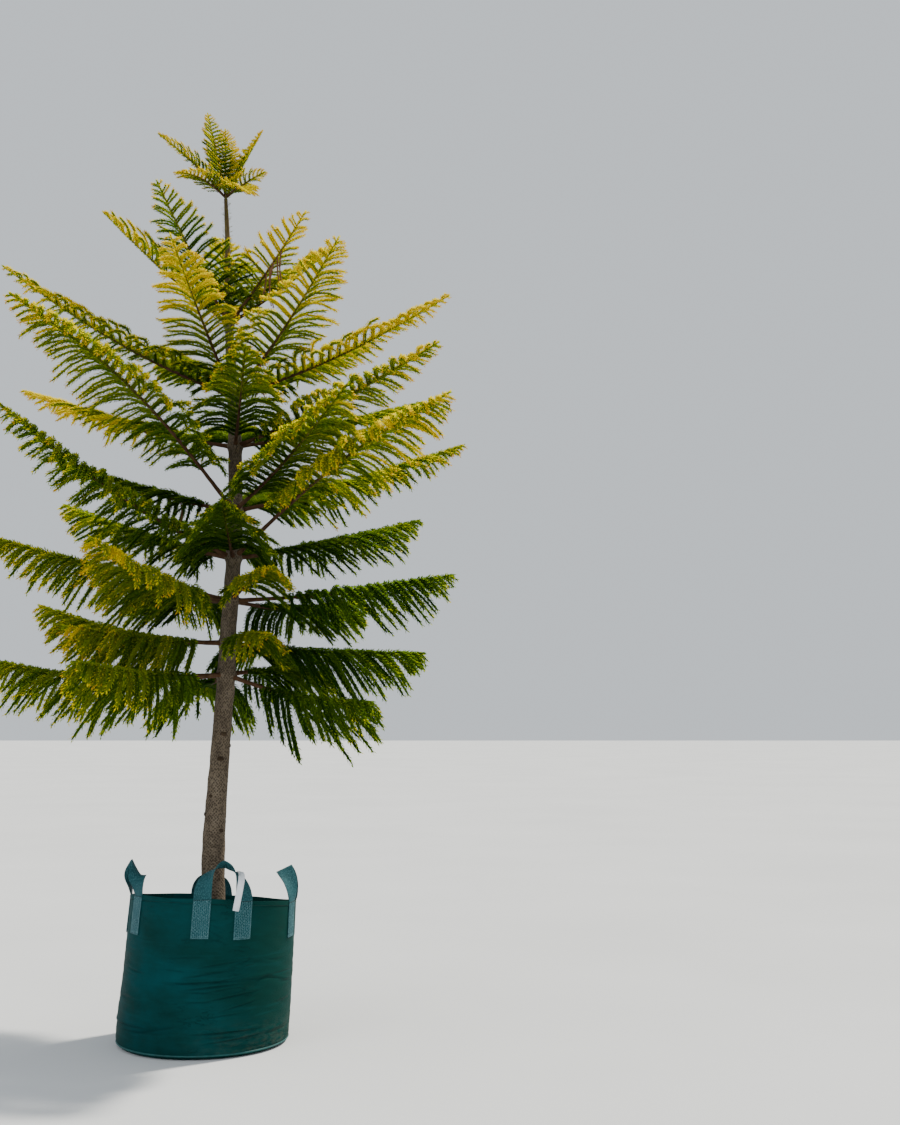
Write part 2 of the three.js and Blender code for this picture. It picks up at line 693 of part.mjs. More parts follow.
// The tuft at the top: short fronds that fan out of one stub on the trunk's tip
function topTuft(clearance) {
  const foot = TRUNK_COURSE.at(-1);
  const stubLine = new THREE.LineCurve3(
    new THREE.Vector3(foot.shift, 0, foot.height + SEAT_GAP),
    new THREE.Vector3(foot.shift, 0, TOP_HEIGHT + TUFT_STUB_RISE),
  );
  const stubRings = [
    ringAt(0, 0),
    ringAt(0, TUFT_STUB_RADIUS[0]),
    ringAt(1, TUFT_STUB_RADIUS[1]),
    ringAt(1, 0),
  ];
  let solid = toSolid(bendAlong(stubLine, stubRings, LIMB_SIDES, new THREE.Vector3(0, -1, 0)));
  tuftFronds.forEach((frond, index) => {
    const inward = frond.line.heading.clone().negate();
    const stem = bendAlong(frond.line, stemRings(0, STEM_RADIUS[0]), 3, inward);
    solid = solid.add(toSolid(stem));
    for (const blade of growSprays(frond, seededRandom(TUFT_SEED + index))) {
      solid = solid.add(toSolid(blade));
    }
  });
  return solid.subtract(clearance);
}

// Materials

const material = (color, roughness) => new THREE.MeshStandardMaterial({ color, roughness, metalness: 0 });
const barkMaterial = material(0x655546, 0.95);
const limbMaterial = material(0x7a4a2c, 0.9);
const foliageMaterial = material(0x6f8a1c, 0.7);
const topMaterial = material(0xa8a21e, 0.7);
const clothMaterial = material(0x0f4a45, 0.75);
const webbingMaterial = material(0x2f6560, 0.8);
const mixMaterial = material(0x33261d, 1);
const tagMaterial = material(0xdfe4e8, 0.5);

// Assembly

const tree = new THREE.Group();

function place(name, geometry, itsMaterial) {
  const mesh = new THREE.Mesh(geometry, itsMaterial);
  mesh.name = name;
  tree.add(mesh);
}

place("grow_bag", growBag(), clothMaterial);
place("potting_mix", pottingMix(), mixMaterial);
Object.entries(HANDLES).forEach(([side, itsPlace]) => {
  place(`handle_${side}`, handle(itsPlace), webbingMaterial);
});
place("plant_tag", plantTag(), tagMaterial);
place("trunk", trunk(0), barkMaterial);

const trunkClearance = toSolid(trunk(SEAT_GAP));
place("top_tuft", toGeometry(topTuft(trunkClearance)), topMaterial);
boughs.forEach((bough, index) => {
  if (bough.bare >= LIMB_BARE_SHARE) {
    place(`bough_${bough.name}`, toGeometry(limb(bough, trunkClearance)), limbMaterial);
  }
  const mass = foliage(bough, MASS_SEED + index, trunkClearance);
  place(`foliage_${bough.name}`, toGeometry(mass), foliageMaterial);
});

export default tree;
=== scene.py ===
"""The looks of a young Norfolk Island pine in a woven grow bag with webbing handles.

Metres, +Z up. The origin is the centre of the bag's flat underside, and -Y is the front.
"""

import math

import bpy
import numpy as np
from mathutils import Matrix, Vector


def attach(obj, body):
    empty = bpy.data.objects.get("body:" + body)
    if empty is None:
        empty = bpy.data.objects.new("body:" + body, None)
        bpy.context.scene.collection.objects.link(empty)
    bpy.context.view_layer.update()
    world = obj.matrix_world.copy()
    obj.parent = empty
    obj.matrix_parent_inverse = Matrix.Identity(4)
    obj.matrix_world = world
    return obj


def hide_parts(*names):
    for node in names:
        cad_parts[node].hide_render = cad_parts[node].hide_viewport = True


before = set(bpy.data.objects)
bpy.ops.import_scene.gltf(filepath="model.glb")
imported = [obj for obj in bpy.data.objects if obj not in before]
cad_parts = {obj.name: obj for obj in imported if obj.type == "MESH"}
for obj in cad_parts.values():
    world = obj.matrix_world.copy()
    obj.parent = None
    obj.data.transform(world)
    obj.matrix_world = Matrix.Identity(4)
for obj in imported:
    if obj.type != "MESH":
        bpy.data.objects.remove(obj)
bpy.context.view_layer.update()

# Grow bag and its handles, as in the solids
BAG_RADIUS = 0.323
BAG_RIM_RADIUS = 0.307
BAG_HEIGHT = 0.545
BAG_BACK_SINK = 0.035
BAG_SIDE_SINK = 0.014
BAG_RIM_SHIFT = 0.044
BAG_TAPER_START = 0.124
BAG_FOOT_ROUND = 0.026
MIX_EDGE_HEIGHT = 0.468
MOUND_HEIGHT = 0.488
MOUND_RADIUS = 0.075
MIX_GAP = 0.0055
MIX_SKIRT = 0.030
CRUMB_RELIEF = 0.0022
CHIP_GAP = 0.018
STRAP_WIDTH = 0.066
STRAP_THICKNESS = 0.003
STRAP_SEWN_LENGTH = 0.136
LOOP_NARROWING = 1.3
STRAP_SEWN_SHARE = 2 / 18
SEAT_GAP = 0.0003
HEM_FOOT = BAG_HEIGHT - 0.0195
HEM_FULL = BAG_HEIGHT - 0.0175
HEM_THICKNESS = 0.0011
HEM_SEAM_DEPTH = 0.0014
HEM_SEAM_WIDTH = 0.0014
CLOTH_BULGE = 0.0022
CLOTH_RIPPLE = 0.0007
STRAP_PRESS = 0.0004
RIM_SAG = 0.0030
LINING_INSET = 0.0040
PIPING_INSET = 0.0024
PIPING_HEIGHT = 0.0150
PIPING_RADIUS = 0.0036

# The rolled rim of the bag: inset from the rim's radius and drop below its height
RIM_ROUND = ((0.0004, 0.0002), (0.0016, 0.0), (0.0030, 0.0002), (0.0036, 0.0012))

# Each handle's place on the rim in degrees from +X, the spacing of its legs, and its loop's rise,
# inward lean, sway to the side and twist in degrees
HANDLES = {
    "front": (-74.2, 0.150, 0.126, 0.006, 0.003, 118),
    "right": (3, 0.150, 0.121, 0.035, 0.0, 115),
    "back": (101.5, 0.098, 0.104, 0.010, 0.0, 115),
    "left": (202.5, 0.150, 0.101, 0.005, 0.0, 155),
}

# Plant tag: its course outward and above the middle of the strap at TAG_PLACE
TAG_WIDTH = 0.023
TAG_THICKNESS = 0.0009
TAG_PLACE = 0.74
TAG_LEAN = math.radians(11)
TAG_CORNER = 0.0008
TAG_CURL = 0.0016
TAG_COURSE = [
    (-0.042, 0.012), (-0.038, 0.026), (-0.022, 0.0275), (0.007, 0.0247), (0.032, 0.012), (0.043, -0.008),
    (0.044, -0.040), (0.043, -0.106),
]

# Trunk from its foot to its tip: height, sideways place, diameter
TRUNK_COURSE = np.array([
    (0.4883, 0.031, 0.108), (0.530, 0.036, 0.097), (0.720, 0.041, 0.087), (1.150, 0.071, 0.071),
    (1.390, 0.090, 0.067), (1.520, 0.096, 0.062), (1.830, 0.117, 0.056), (2.255, 0.123, 0.050),
    (2.445, 0.115, 0.043), (2.720, 0.100, 0.030), (3.060, 0.094, 0.019), (3.189, 0.088, 0.014),
])
LEADER_FOOT = 2.745
TOP_HEIGHT = 3.201

# Relief of the trunk's bark: depths, and the lattice of its leaf scars
BARK_RADIUS = 0.043
ROOT_FLARE = 0.0045
ROOT_LOBES = 5
FLARE_HEIGHT = 0.035
BARK_LUMPS = 0.0011
BARK_GRAIN = 0.0005
LEAF_SCARS = 0.0010
LEAF_SCAR_COLUMNS = 15
LEAF_SCAR_PITCH = 0.017
WHORL_RING = 0.0006
COLLAR_BULGE = 0.0055

# Knots on the bare trunk: height, angle in degrees from +X, size
KNOTS = [
    (1.165, -66, 0.0090), (1.072, -75, 0.0085), (0.930, -118, 0.0060), (0.800, -40, 0.0065),
    (1.240, 150, 0.0080), (0.990, 60, 0.0085), (0.720, 110, 0.0070), (1.120, 20, 0.0070),
    (0.860, 200, 0.0075), (0.640, -95, 0.0060),
]

# A knot's profile: how far each ring stands out, and its radius against the knot's size
KNOT_RISES = np.array([0.0, 0.0030, 0.0042, 0.0036, 0.0014])
KNOT_SHARES = np.array([[1.35, 1.15, 0.85, 0.55, 0.40]])
KNOT_SIDES = 14

# Limbs: radius at the trunk from the highest whorl to the lowest, and a collar that fades outward
LIMB_RADIUS = (0.0062, 0.0098)
TUFT_LIMB_RADIUS = 0.0042
LIMB_TIP_RADIUS = 0.0016
LIMB_GREEN_FROM = 0.62
COLLAR_SWELL = 0.25
COLLAR_LENGTH = 0.03
COLLAR_FADE = 0.012

# Pieces of trunk reach into each other and into the mix
JOINT_OVERLAP = 0.004

# Boughs, whorl by whorl from the top: azimuth in degrees, reach, rise in degrees, arch, bare share, tone.
# The tone runs from 0, the deep green of the shade, to 1, the gold of the sunlit tips
TOP_FRONDS = [
    (125, 0.160, 67, 0.02, 0.12, 0.55), (100, 0.150, 65, 0.03, 0.12, 0.82),
    (-170, 0.250, 42, 0.06, 0.12, 0.62), (-128, 0.240, 6, 0.10, 0.12, 0.72),
    (35, 0.155, 62, 0.02, 0.12, 0.62), (-12, 0.158, 29, 0.04, 0.12, 0.68),
    (-58, 0.225, -14, 0.12, 0.12, 0.72),
]
WHORLS = [
    (2, 2.720, [
        ("left", 178, 0.480, 42, -0.04, 0.08, 0.64), ("front_left", -112, 0.480, 38, -0.03, 0.08, 0.50),
        ("front_right", -42, 0.430, 37, -0.03, 0.08, 0.74), ("back_right", 30, 0.430, 40, -0.03, 0.08, 0.68),
        ("back", 102, 0.460, 46, -0.03, 0.08, 0.64),
    ]),
    (3, 2.445, [
        ("left", -160, 0.830, 26, -0.05, 0.10, 0.58), ("front", -100, 0.640, 32, -0.02, 0.10, 0.70),
        ("front_right", -55, 0.790, 26, -0.04, 0.26, 0.66), ("right", -8, 0.830, 23, -0.04, 0.10, 0.70),
        ("back_right", 52, 0.780, 25, -0.04, 0.10, 0.52), ("back", 120, 0.800, 25, -0.04, 0.10, 0.50),
    ]),
    (4, 2.255, [
        ("left", 170, 0.860, 16, -0.04, 0.14, 0.66), ("front", -78, 0.600, 21, -0.03, 0.14, 0.48),
        ("right", -26, 0.860, 19, -0.03, 0.14, 0.58), ("back_right", 34, 0.840, 18, -0.03, 0.14, 0.46),
        ("back", 98, 0.820, 18, -0.03, 0.14, 0.44),
    ]),
    (5, 2.010, [
        ("left", 166, 0.740, 17, -0.03, 0.16, 0.38), ("front_left", -126, 1.010, 30, 0.08, 0.16, 0.55),
        ("front_right", -54, 0.820, 22, -0.03, 0.16, 0.52), ("right", 14, 0.900, 18, -0.03, 0.16, 0.46),
        ("back", 84, 0.880, 17, -0.03, 0.16, 0.42),
    ]),
    (6, 1.830, [
        ("left", -144, 0.900, 28, -0.05, 0.18, 0.44), ("front", -86, 0.460, 18, -0.03, 0.20, 0.42),
        ("front_right", -38, 1.040, 25, 0.05, 0.26, 0.60),
        ("back_right", 40, 0.900, 14, -0.02, 0.18, 0.34), ("back", 104, 0.900, 14, -0.02, 0.18, 0.37),
        ("back_left", 150, 0.880, 17, -0.03, 0.18, 0.46),
    ]),
    (7, 1.670, [
        ("left", -167, 0.960, 14, -0.01, 0.20, 0.52), ("front_left", -122, 0.710, 13, -0.07, 0.26, 0.57),
        ("front", -54, 0.330, 17, 0.04, 0.20, 0.58), ("right", -14, 0.870, 5, -0.02, 0.28, 0.28),
        ("back_right", 60, 0.860, 4, -0.04, 0.20, 0.30), ("back", 126, 0.880, 8, -0.03, 0.20, 0.38),
    ]),
    (8, 1.510, [
        ("left", 162, 0.830, 11, -0.05, 0.22, 0.54), ("front_left", -148, 0.620, 4, -0.03, 0.20, 0.54),
        ("front", -50, 0.290, 4, 0.04, 0.20, 0.58), ("right", 2, 0.740, -3, -0.02, 0.28, 0.28),
        ("back", 84, 0.800, 3, -0.04, 0.20, 0.34),
    ]),
    (9, 1.390, [
        ("left", 178, 0.960, 4, -0.05, 0.28, 0.46), ("front_left", -126, 0.720, 2, -0.03, 0.26, 0.47),
        ("right", -22, 0.610, -10, -0.05, 0.28, 0.34), ("back_right", 40, 0.440, 2, 0.03, 0.20, 0.38),
        ("back", 112, 0.800, 0, -0.04, 0.20, 0.36),
    ]),
]

# The growth rule of the solids, carried to every branchlet. A pair runs from the highest whorl to
# the lowest
BRANCHLET_SPACING = (0.0190, 0.0165)
TUFT_SPACING = 0.0088
BRANCHLET_LENGTH = (0.245, 0.260)
TUFT_BRANCHLET_LENGTH = 0.094
TUFT_VEE = 30
BRANCHLET_VEE = (54, 12)
BRANCHLET_DROOP = (0.42, 0.92)
BRANCHLET_FORWARD = (70, 42)
FORWARD_BEND = 14
FORWARD_SCATTER = 8
VEE_SCATTER = 12
LENGTH_SCATTER = (0.86, 1.10)
STAGGER = 0.25
LAST_BRANCHLET_AT = 0.985
FROND_ROOT_SHARE = 0.68
FROND_WIDEST = 0.25
FROND_TIP_LOSS = 0.86
FROND_TIP_POWER = 2.2
FULL_FROND_REACH = 0.480
SHORTER_SHARES = (1, 0.8, 0.62, 0.46)
CLEAR_OF_LINES = 0.014
CLEAR_OF_TRUNK = 0.012
LINE_SAMPLES = 41
LEAST_BRANCHLET_LENGTH = 0.016
HOOK_SHARE = 0.05
HOOK_LIFT = 0.8
DROOP_SCATTER = (0.75, 1.25)

# Where a branchlet's room is tried: shares of its length and of its droop
TRIED_SPOTS = ((0.62, 0.36), (1, 1))

# The number generator that the solids use too
DRAW_FACTOR, DRAW_STEP, DRAW_RANGE = 1664525, 1013904223, 4294967296

# Needles and the ropes that they make round their branchlets
ROPE_RADIUS = (0.0027, 0.0062)
FULL_ROPE_LENGTH = 0.09
SLIMMEST_ROPE = 0.6
NEEDLE_SPACING = 0.00190
NEEDLE_LENGTH = (0.0082, 0.0170)
NEEDLE_WIDTH = (0.0032, 0.0052)
NEEDLE_SIZE_SCATTER = (0.82, 1.12)
LINE_NEEDLE_SPACING = 0.0014
LINE_NEEDLES_FROM = 0.32
BUD_LENGTH = (0.004, 0.011)

# What makes a branchlet or a needle more golden or more green: random scatter, painted light towards the
# ends, on the faces that look up and on the outer part of a bough, painted shade near the trunk, and the
# buds' own colour at the tips
BRANCHLET_TONE_SCATTER = 0.18
NEEDLE_TONE_SCATTER = 0.09
ALONG_LIGHT = 0.16
END_LIGHT = 0.14
TOP_LIGHT = (0.22, 0.09)
OUTER_LIGHT = (0.34, 0.16)
SHADE_DEPTH = 0.16
SHADE_REACH = 0.30
BUDDING_TONE = (0.36, 0.56)
TIP_TONE = 2.0
# The branchlets' skin under the needles is the needles' colour darkened by this share: painted shade between
# the needles
CORE_SHADE = 0.55

NEEDLE_LEAN = math.radians(32)
NEEDLE_LEAN_SCATTER = math.radians(15)
GOLDEN_ANGLE = math.radians(137.508)
PIECE_TRIANGLES = 196000

# The needles' colours run from the deep green of painted shade to the gold of painted sunlight, with the
# buds' own colour at the tips; each has the colour that the needles let through
TONE_KINDS = ("deep", "green", "lime", "gold", "tip")
TONE_EDGES = (0.28, 0.48, 0.66, 1.5)
NEEDLE_COLOURS = {
    "deep": ((0.020, 0.062, 0.003), (0.06, 0.15, 0.002)),
    "green": ((0.072, 0.145, 0.005), (0.19, 0.32, 0.004)),
    "lime": ((0.200, 0.262, 0.004), (0.46, 0.54, 0.003)),
    "gold": ((0.740, 0.590, 0.001), (0.98, 0.82, 0.001)),
    "tip": ((0.480, 0.275, 0.018), (0.74, 0.46, 0.018)),
}

# Barks: pale, middle and dark colour, and the spacing of their pits
BARKS = {
    "trunk_bark": ((0.180, 0.145, 0.105), (0.130, 0.102, 0.072), (0.078, 0.060, 0.043), 0.0092),
    "knot_bark": ((0.100, 0.070, 0.045), (0.050, 0.034, 0.021), (0.018, 0.012, 0.008), 0.004),
    "leader_bark": ((0.22, 0.17, 0.08), (0.14, 0.10, 0.045), (0.07, 0.05, 0.025), 0.006),
    # The limbs' bark is darker than its own brown: painted shade inside the crown
    "limb_bark": ((0.125, 0.070, 0.038), (0.075, 0.038, 0.020), (0.036, 0.018, 0.010), 0.005),
    "tip_bark": ((0.20, 0.17, 0.035), (0.13, 0.11, 0.02), (0.08, 0.06, 0.015), 0.005),
    "dead_twig": ((0.30, 0.155, 0.075), (0.19, 0.090, 0.045), (0.10, 0.045, 0.024), 0.004),
}

UP = np.array([0.0, 0.0, 1.0])
FRONT = np.array([0.0, -1.0, 0.0])
TURN = 2 * math.pi


# Arrays

def lerp(low, high, share):
    return low + (high - low) * share


def smoothstep(value, low, high):
    share = np.clip((value - low) / (high - low), 0, 1)
    return share * share * (3 - 2 * share)


def unit(vectors):
    return vectors / np.linalg.norm(vectors, axis=-1, keepdims=True)


def along_each(vectors, amounts):
    """Each vector times its own amount."""
    return vectors * np.asarray(amounts)[..., None]


def square_to(vectors, tangent):
    """Unit vectors across a line's direction, as near as may be to the given ones."""
    return unit(vectors - along_each(tangent, np.sum(vectors * tangent, axis=-1)))


def turn_from(angle, centre):
    """The signed turn from one angle to others, half a turn at most."""
    return (angle - centre + math.pi) % TURN - math.pi


def level_direction(degrees):
    """The level direction at an angle from +X."""
    return np.array([math.cos(math.radians(degrees)), math.sin(math.radians(degrees)), 0.0])


def round_points(radius, angle, height):
    """Points round the upright axis."""
    return np.stack(np.broadcast_arrays(radius * np.cos(angle), radius * np.sin(angle), height), -1)


def run_along(line):
    """The length of a line up to each of its points."""
    return np.concatenate([[0], np.cumsum(np.linalg.norm(np.diff(line, axis=0), axis=1))])


def seeded_draws(seed, rows, columns):
    """The solids' generator: each draw is the state's share of its whole range."""
    state, draws = seed, []
    for _ in range(rows * columns):
        state = (state * DRAW_FACTOR + DRAW_STEP) % DRAW_RANGE
        draws.append(state / DRAW_RANGE)
    return np.array(draws).reshape(rows, columns)


def round_waves(angle, height, seed, count, turns, pitches):
    """Smooth seeded lumps on a round wall, about -1 to 1: waves that close up round it."""
    rng = np.random.default_rng(seed)
    total = np.zeros(np.broadcast(angle, height).shape)
    for _ in range(count):
        number = rng.integers(turns[0], turns[1] + 1) * rng.choice((-1, 1))
        pitch = rng.uniform(*pitches)
        total += np.sin(number * angle + TURN * height / pitch + rng.uniform(0, TURN))
    return total / math.sqrt(count) / 1.5


# Meshes as arrays of vertices and faces

def halved(quads):
    """Each quad as two triangles."""
    return np.concatenate([quads[:, [0, 1, 2]], quads[:, [0, 2, 3]]])


def ring_quads(grid):
    """Quads between neighbouring rings: grid is (..., rings, sides) and closes up along its sides."""
    near, far = grid[..., :-1, :], grid[..., 1:, :]
    return np.stack([near, np.roll(near, -1, -1), np.roll(far, -1, -1), far], -1).reshape(-1, 4)


def fan(hub, ring, turn=1):
    """Triangles from one vertex to each side of a closed ring."""
    return np.stack([np.full(len(ring), hub), np.roll(ring, -turn), ring], -1)


def skin_between(rings, sides, inward=False):
    """Triangles over rings of vertices that follow each other round an axis."""
    quads = ring_quads(np.arange(rings * sides).reshape(rings, sides))
    return halved(quads[:, ::-1] if inward else quads)


def swept(points):
    """A closed skin over points (rings, section, 3), with a flat cap at each end."""
    rings, section = points.shape[:2]
    last = (rings - 1) * section
    caps = [[0, k, k + 1] for k in range(1, section - 1)]
    caps += [[last, last + k + 1, last + k] for k in range(1, section - 1)]
    return points.reshape(-1, 3), np.vstack([skin_between(rings, section, inward=True), caps])


def tubes(points, radii, sides, reference):
    """Closed tubes along many lines: points (lines, rings, 3), radii (lines, rings, 1 or sides)."""
    lines, rings = points.shape[:2]
    tangent = unit(np.gradient(points, axis=-2))
    lift = square_to(reference, tangent)
    across = np.cross(tangent, lift)
    angle = TURN * np.arange(sides) / sides
    spread = across[:, :, None] * np.cos(angle)[:, None] + lift[:, :, None] * np.sin(angle)[:, None]
    vertices = (points[:, :, None] + spread * radii[..., None]).reshape(-1, 3)
    grid = np.arange(lines * rings * sides).reshape(lines, rings, sides)
    caps = [grid[:, 0, [0, k + 1, k]] for k in range(1, sides - 1)]
    caps += [grid[:, -1, [0, k, k + 1]] for k in range(1, sides - 1)]
    return vertices, np.concatenate([halved(ring_quads(grid)), *caps])


def joined(parts):
    """Several (vertices, faces) as one."""
    offset = 0
    all_vertices, all_faces = [], []
    for vertices, faces in parts:
        all_vertices.append(vertices)
        all_faces.append(faces + offset)
        offset += len(vertices)
    return np.concatenate(all_vertices), np.concatenate(all_faces)


def having(thing, **settings):
    """The same thing with its settings made."""
    for key, value in settings.items():
        setattr(thing, key, value)
    return thing


def add_object(name, data, **settings):
    """Makes an object and links it to the scene."""
    made = having(bpy.data.objects.new(name, data), **settings)
    bpy.context.scene.collection.objects.link(made)
    return made


def add_piece(name, shape, material, slot, replaced=(), uv=None, smooth=True):
    """Makes one mesh object of the tree from arrays, and hides the parts that it replaces."""
    vertices, faces = shape
    corners = faces.shape[1]
    mesh = bpy.data.meshes.new(name)
    mesh.vertices.add(len(vertices))
    mesh.vertices.foreach_set("co", np.ascontiguousarray(vertices, np.float32).ravel())
    mesh.loops.add(faces.size)
    mesh.loops.foreach_set("vertex_index", np.ascontiguousarray(faces, np.int32).ravel())
    mesh.polygons.add(len(faces))
    mesh.polygons.foreach_set("loop_start", np.arange(0, faces.size, corners, dtype=np.int32))
    mesh.polygons.foreach_set("use_smooth", np.full(len(faces), smooth))
    if uv is not None:
        layer = mesh.uv_layers.new(name="Metres")
        layer.data.foreach_set("uv", np.ascontiguousarray(uv[faces.ravel()], np.float32).ravel())
    mesh.update(calc_edges=True)
    mesh.validate()
    mesh.materials.append(material)
    piece = add_object(name, mesh)
    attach(piece, "root")
    if replaced:
        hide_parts(*replaced)
    return piece


# Material nodes

def rgba(colour):
    """A colour as a socket takes it. Outputs and plain numbers stay as they are."""
    return (*colour, 1) if isinstance(colour, tuple) else colour


def new_material(name, **values):
    """A material with one Principled shader, and the shader's own plain values set on it."""
    material = bpy.data.materials.new(name)
    material.use_nodes = True
    shader = material.node_tree.nodes["Principled BSDF"]
    for key, value in values.items():
        shader.inputs[key.replace("_", " ")].default_value = rgba(value)
    return material, material.node_tree


def paint(tree, **outputs):
    """Links outputs to the sockets of the material's shader."""
    shader = tree.nodes["Principled BSDF"]
    for key, output in outputs.items():
        tree.links.new(output, shader.inputs[key.replace("_", " ")])


def node(tree, kind, inputs=None, **settings):
    """Adds a node. An input is a plain value, or the output that is linked to it."""
    made = having(tree.nodes.new(kind), **settings)
    for key, value in (inputs or {}).items():
        if isinstance(value, bpy.types.NodeSocket):
            tree.links.new(value, made.inputs[key])
        else:
            made.inputs[key].default_value = value
    return made


def place(tree, kind="Object", scale=(1, 1, 1), rotation=(0, 0, 0)):
    """Coordinates in metres, scaled."""
    source = node(tree, "ShaderNodeTexCoord").outputs[kind]
    mapping = node(tree, "ShaderNodeMapping", {"Vector": source, "Scale": scale, "Rotation": rotation})
    return mapping.outputs["Vector"]


def noise(tree, vector, scale, detail=3.0, roughness=0.55, distortion=0.0):
    inputs = {"Vector": vector, "Scale": scale, "Detail": detail, "Roughness": roughness}
    return node(tree, "ShaderNodeTexNoise", {**inputs, "Distortion": distortion}).outputs["Fac"]


def ramp(tree, factor, stops):
    """A colour or grey ramp: stops are (place, colour)."""
    made = node(tree, "ShaderNodeValToRGB", {"Fac": factor})
    elements = made.color_ramp.elements
    while len(elements) < len(stops):
        elements.new(0.5)
    for element, (spot, colour) in zip(elements, stops):
        element.position = spot
        element.color = (*colour, 1) if isinstance(colour, tuple) else (colour, colour, colour, 1)
    return made.outputs["Color"]


def mottled(tree, stops, fineness, detail=3.0, roughness=0.55, **placing):
    """A ramp over noise."""
    return ramp(tree, noise(tree, place(tree, **placing), fineness, detail, roughness), stops)


def blend(tree, factor, first, second):
    """Two colours mixed, each a plain colour or an output."""
    inputs = {0: factor, 6: rgba(first), 7: rgba(second)}
    return node(tree, "ShaderNodeMix", inputs, data_type="RGBA").outputs[2]


def maths(tree, operation, *values):
    """One step of arithmetic on plain numbers or outputs."""
    return node(tree, "ShaderNodeMath", dict(enumerate(values)), operation=operation).outputs["Value"]


def times(tree, first, second):
    return maths(tree, "MULTIPLY", first, second)


def share_between(tree, value, low, high, top=1.0):
    """From 0 to top as a value goes from low to high."""
    inputs = {"Value": value, "From Min": low, "From Max": high, "To Max": top}
    return node(tree, "ShaderNodeMapRange", inputs).outputs["Result"]


def bump(tree, height, strength, distance, under=None):
    inputs = {"Height": height, "Strength": strength, "Distance": distance}
    if under is not None:
        inputs["Normal"] = under
    return node(tree, "ShaderNodeBump", inputs).outputs["Normal"]


def bands(tree, vector, period, direction):
    """Ribs across a direction, one to each period in metres."""
    inputs = {"Vector": vector, "Scale": TURN / 20 / period}
    made = node(tree, "ShaderNodeTexWave", inputs, wave_type="BANDS", bands_direction=direction)
    return made.outputs["Fac"]


def needle_material(name, front, glow):
    """Needles in one plain colour, which let some of the light behind them through."""
    material, tree = new_material(name, Base_Color=front, Roughness=0.6, Specular_IOR_Level=0.05)
    paint(tree, Normal=bump(tree, noise(tree, place(tree), 420.0), 0.25, 0.0006))
    through = node(tree, "ShaderNodeBsdfTranslucent", {"Color": rgba(glow)})
    surface = tree.nodes["Principled BSDF"].outputs[0]
    both = node(tree, "ShaderNodeMixShader", {0: 0.45, 1: surface, 2: through.outputs[0]})
    tree.links.new(both.outputs[0], tree.nodes["Material Output"].inputs["Surface"])
    return material


def bark_material(name):
    """Rough bark: mottled, with pale flecks and a diagonal lattice of dark pits a few millimetres apart."""
    pale, mid, dark, pits = BARKS[name]
    material, tree = new_material(name, Roughness=0.9, Specular_IOR_Level=0.08)
    stretched = (1, 1, 0.45)
    colour = mottled(tree, [(0.28, dark), (0.50, mid), (0.74, pale)], 26.0, 5.0, 0.62, scale=stretched)
    fleck = mottled(tree, [(0.58, 0.0), (0.70, 1.0)], 170.0, 2.0, scale=(1, 1, 2.2))
    colour = blend(tree, times(tree, fleck, 0.45), colour, pale)
    lattice = place(tree, "UV", rotation=(0, 0, math.radians(45)))
    cells = node(tree, "ShaderNodeTexVoronoi", {"Vector": lattice, "Scale": 1 / pits, "Randomness": 0.42})
    pit = ramp(tree, cells.outputs["Distance"], [(0.33, 1.0), (0.50, 0.0)])
    colour = blend(tree, times(tree, pit, 0.62), colour, tuple(0.22 * c for c in dark))
    rough = bump(tree, noise(tree, place(tree, scale=stretched), 130.0, 6.0, 0.65), 0.55, 0.0014)
    paint(tree, Base_Color=colour, Normal=bump(tree, times(tree, pit, -1.0), 0.8, 0.0018, rough))
    return material


# Trunk and boughs

def trunk_at(height):
    """The trunk's centre and radius by straight steps, as the growth rule uses them."""
    shift = np.interp(height, TRUNK_COURSE[:, 0], TRUNK_COURSE[:, 1])
    radius = np.interp(height, TRUNK_COURSE[:, 0], TRUNK_COURSE[:, 2]) / 2
    centre = np.stack([shift, np.zeros_like(shift), np.broadcast_to(height, np.shape(shift))], -1)
    return centre, radius


def smooth_course(height, column):
    """A smooth run through one column of the trunk's course."""
    knots, values = TRUNK_COURSE[:, 0], TRUNK_COURSE[:, column]
    slopes = np.gradient(values, knots)
    row = np.clip(np.searchsorted(knots, height) - 1, 0, len(knots) - 2)
    step = knots[row + 1] - knots[row]
    share = np.clip((height - knots[row]) / step, 0, 1)
    rise = values[row + 1] - values[row]
    bend_in = slopes[row] * step - rise
    bend_out = rise - slopes[row + 1] * step
    curve = share * (1 - share) * ((1 - share) * bend_in + share * bend_out)
    return values[row] + rise * share + curve


class Bough:
    """One bough's line and what the growth rule needs to know of it."""

    def __init__(self, node_name, start, row, seed):
        azimuth, self.reach, rise, self.arch, self.bare, self.tone = row
        self.node_name = node_name
        self.start = start
        self.seed = seed
        self.climb = math.tan(math.radians(rise))
        self.heading = level_direction(azimuth)
        self.run = self.reach * math.hypot(1, self.climb)
        self.low = (TOP_HEIGHT - start[2]) / (TOP_HEIGHT - WHORLS[-1][1])
        self.is_tuft = node_name == "top_tuft"
        if self.is_tuft:
            self.spacing, self.longest, self.vee = TUFT_SPACING, TUFT_BRANCHLET_LENGTH, TUFT_VEE
        else:
            self.spacing, self.vee = lerp(*BRANCHLET_SPACING, self.low), lerp(*BRANCHLET_VEE, self.low)
            self.longest = lerp(*BRANCHLET_LENGTH, self.low) * min(1, self.reach / FULL_FROND_REACH)
        self.samples = self.point(np.linspace(0, 1, LINE_SAMPLES))

    def point(self, at):
        at = np.asarray(at, float)
        rise = self.reach * (self.climb * at + self.arch * np.sin(math.pi * at))
        return self.start + along_each(self.heading, self.reach * at) + along_each(UP, rise)

    def tangent(self, at):
        slope = self.climb + self.arch * math.pi * np.cos(math.pi * np.asarray(at, float))
        return unit(self.heading + along_each(UP, slope))


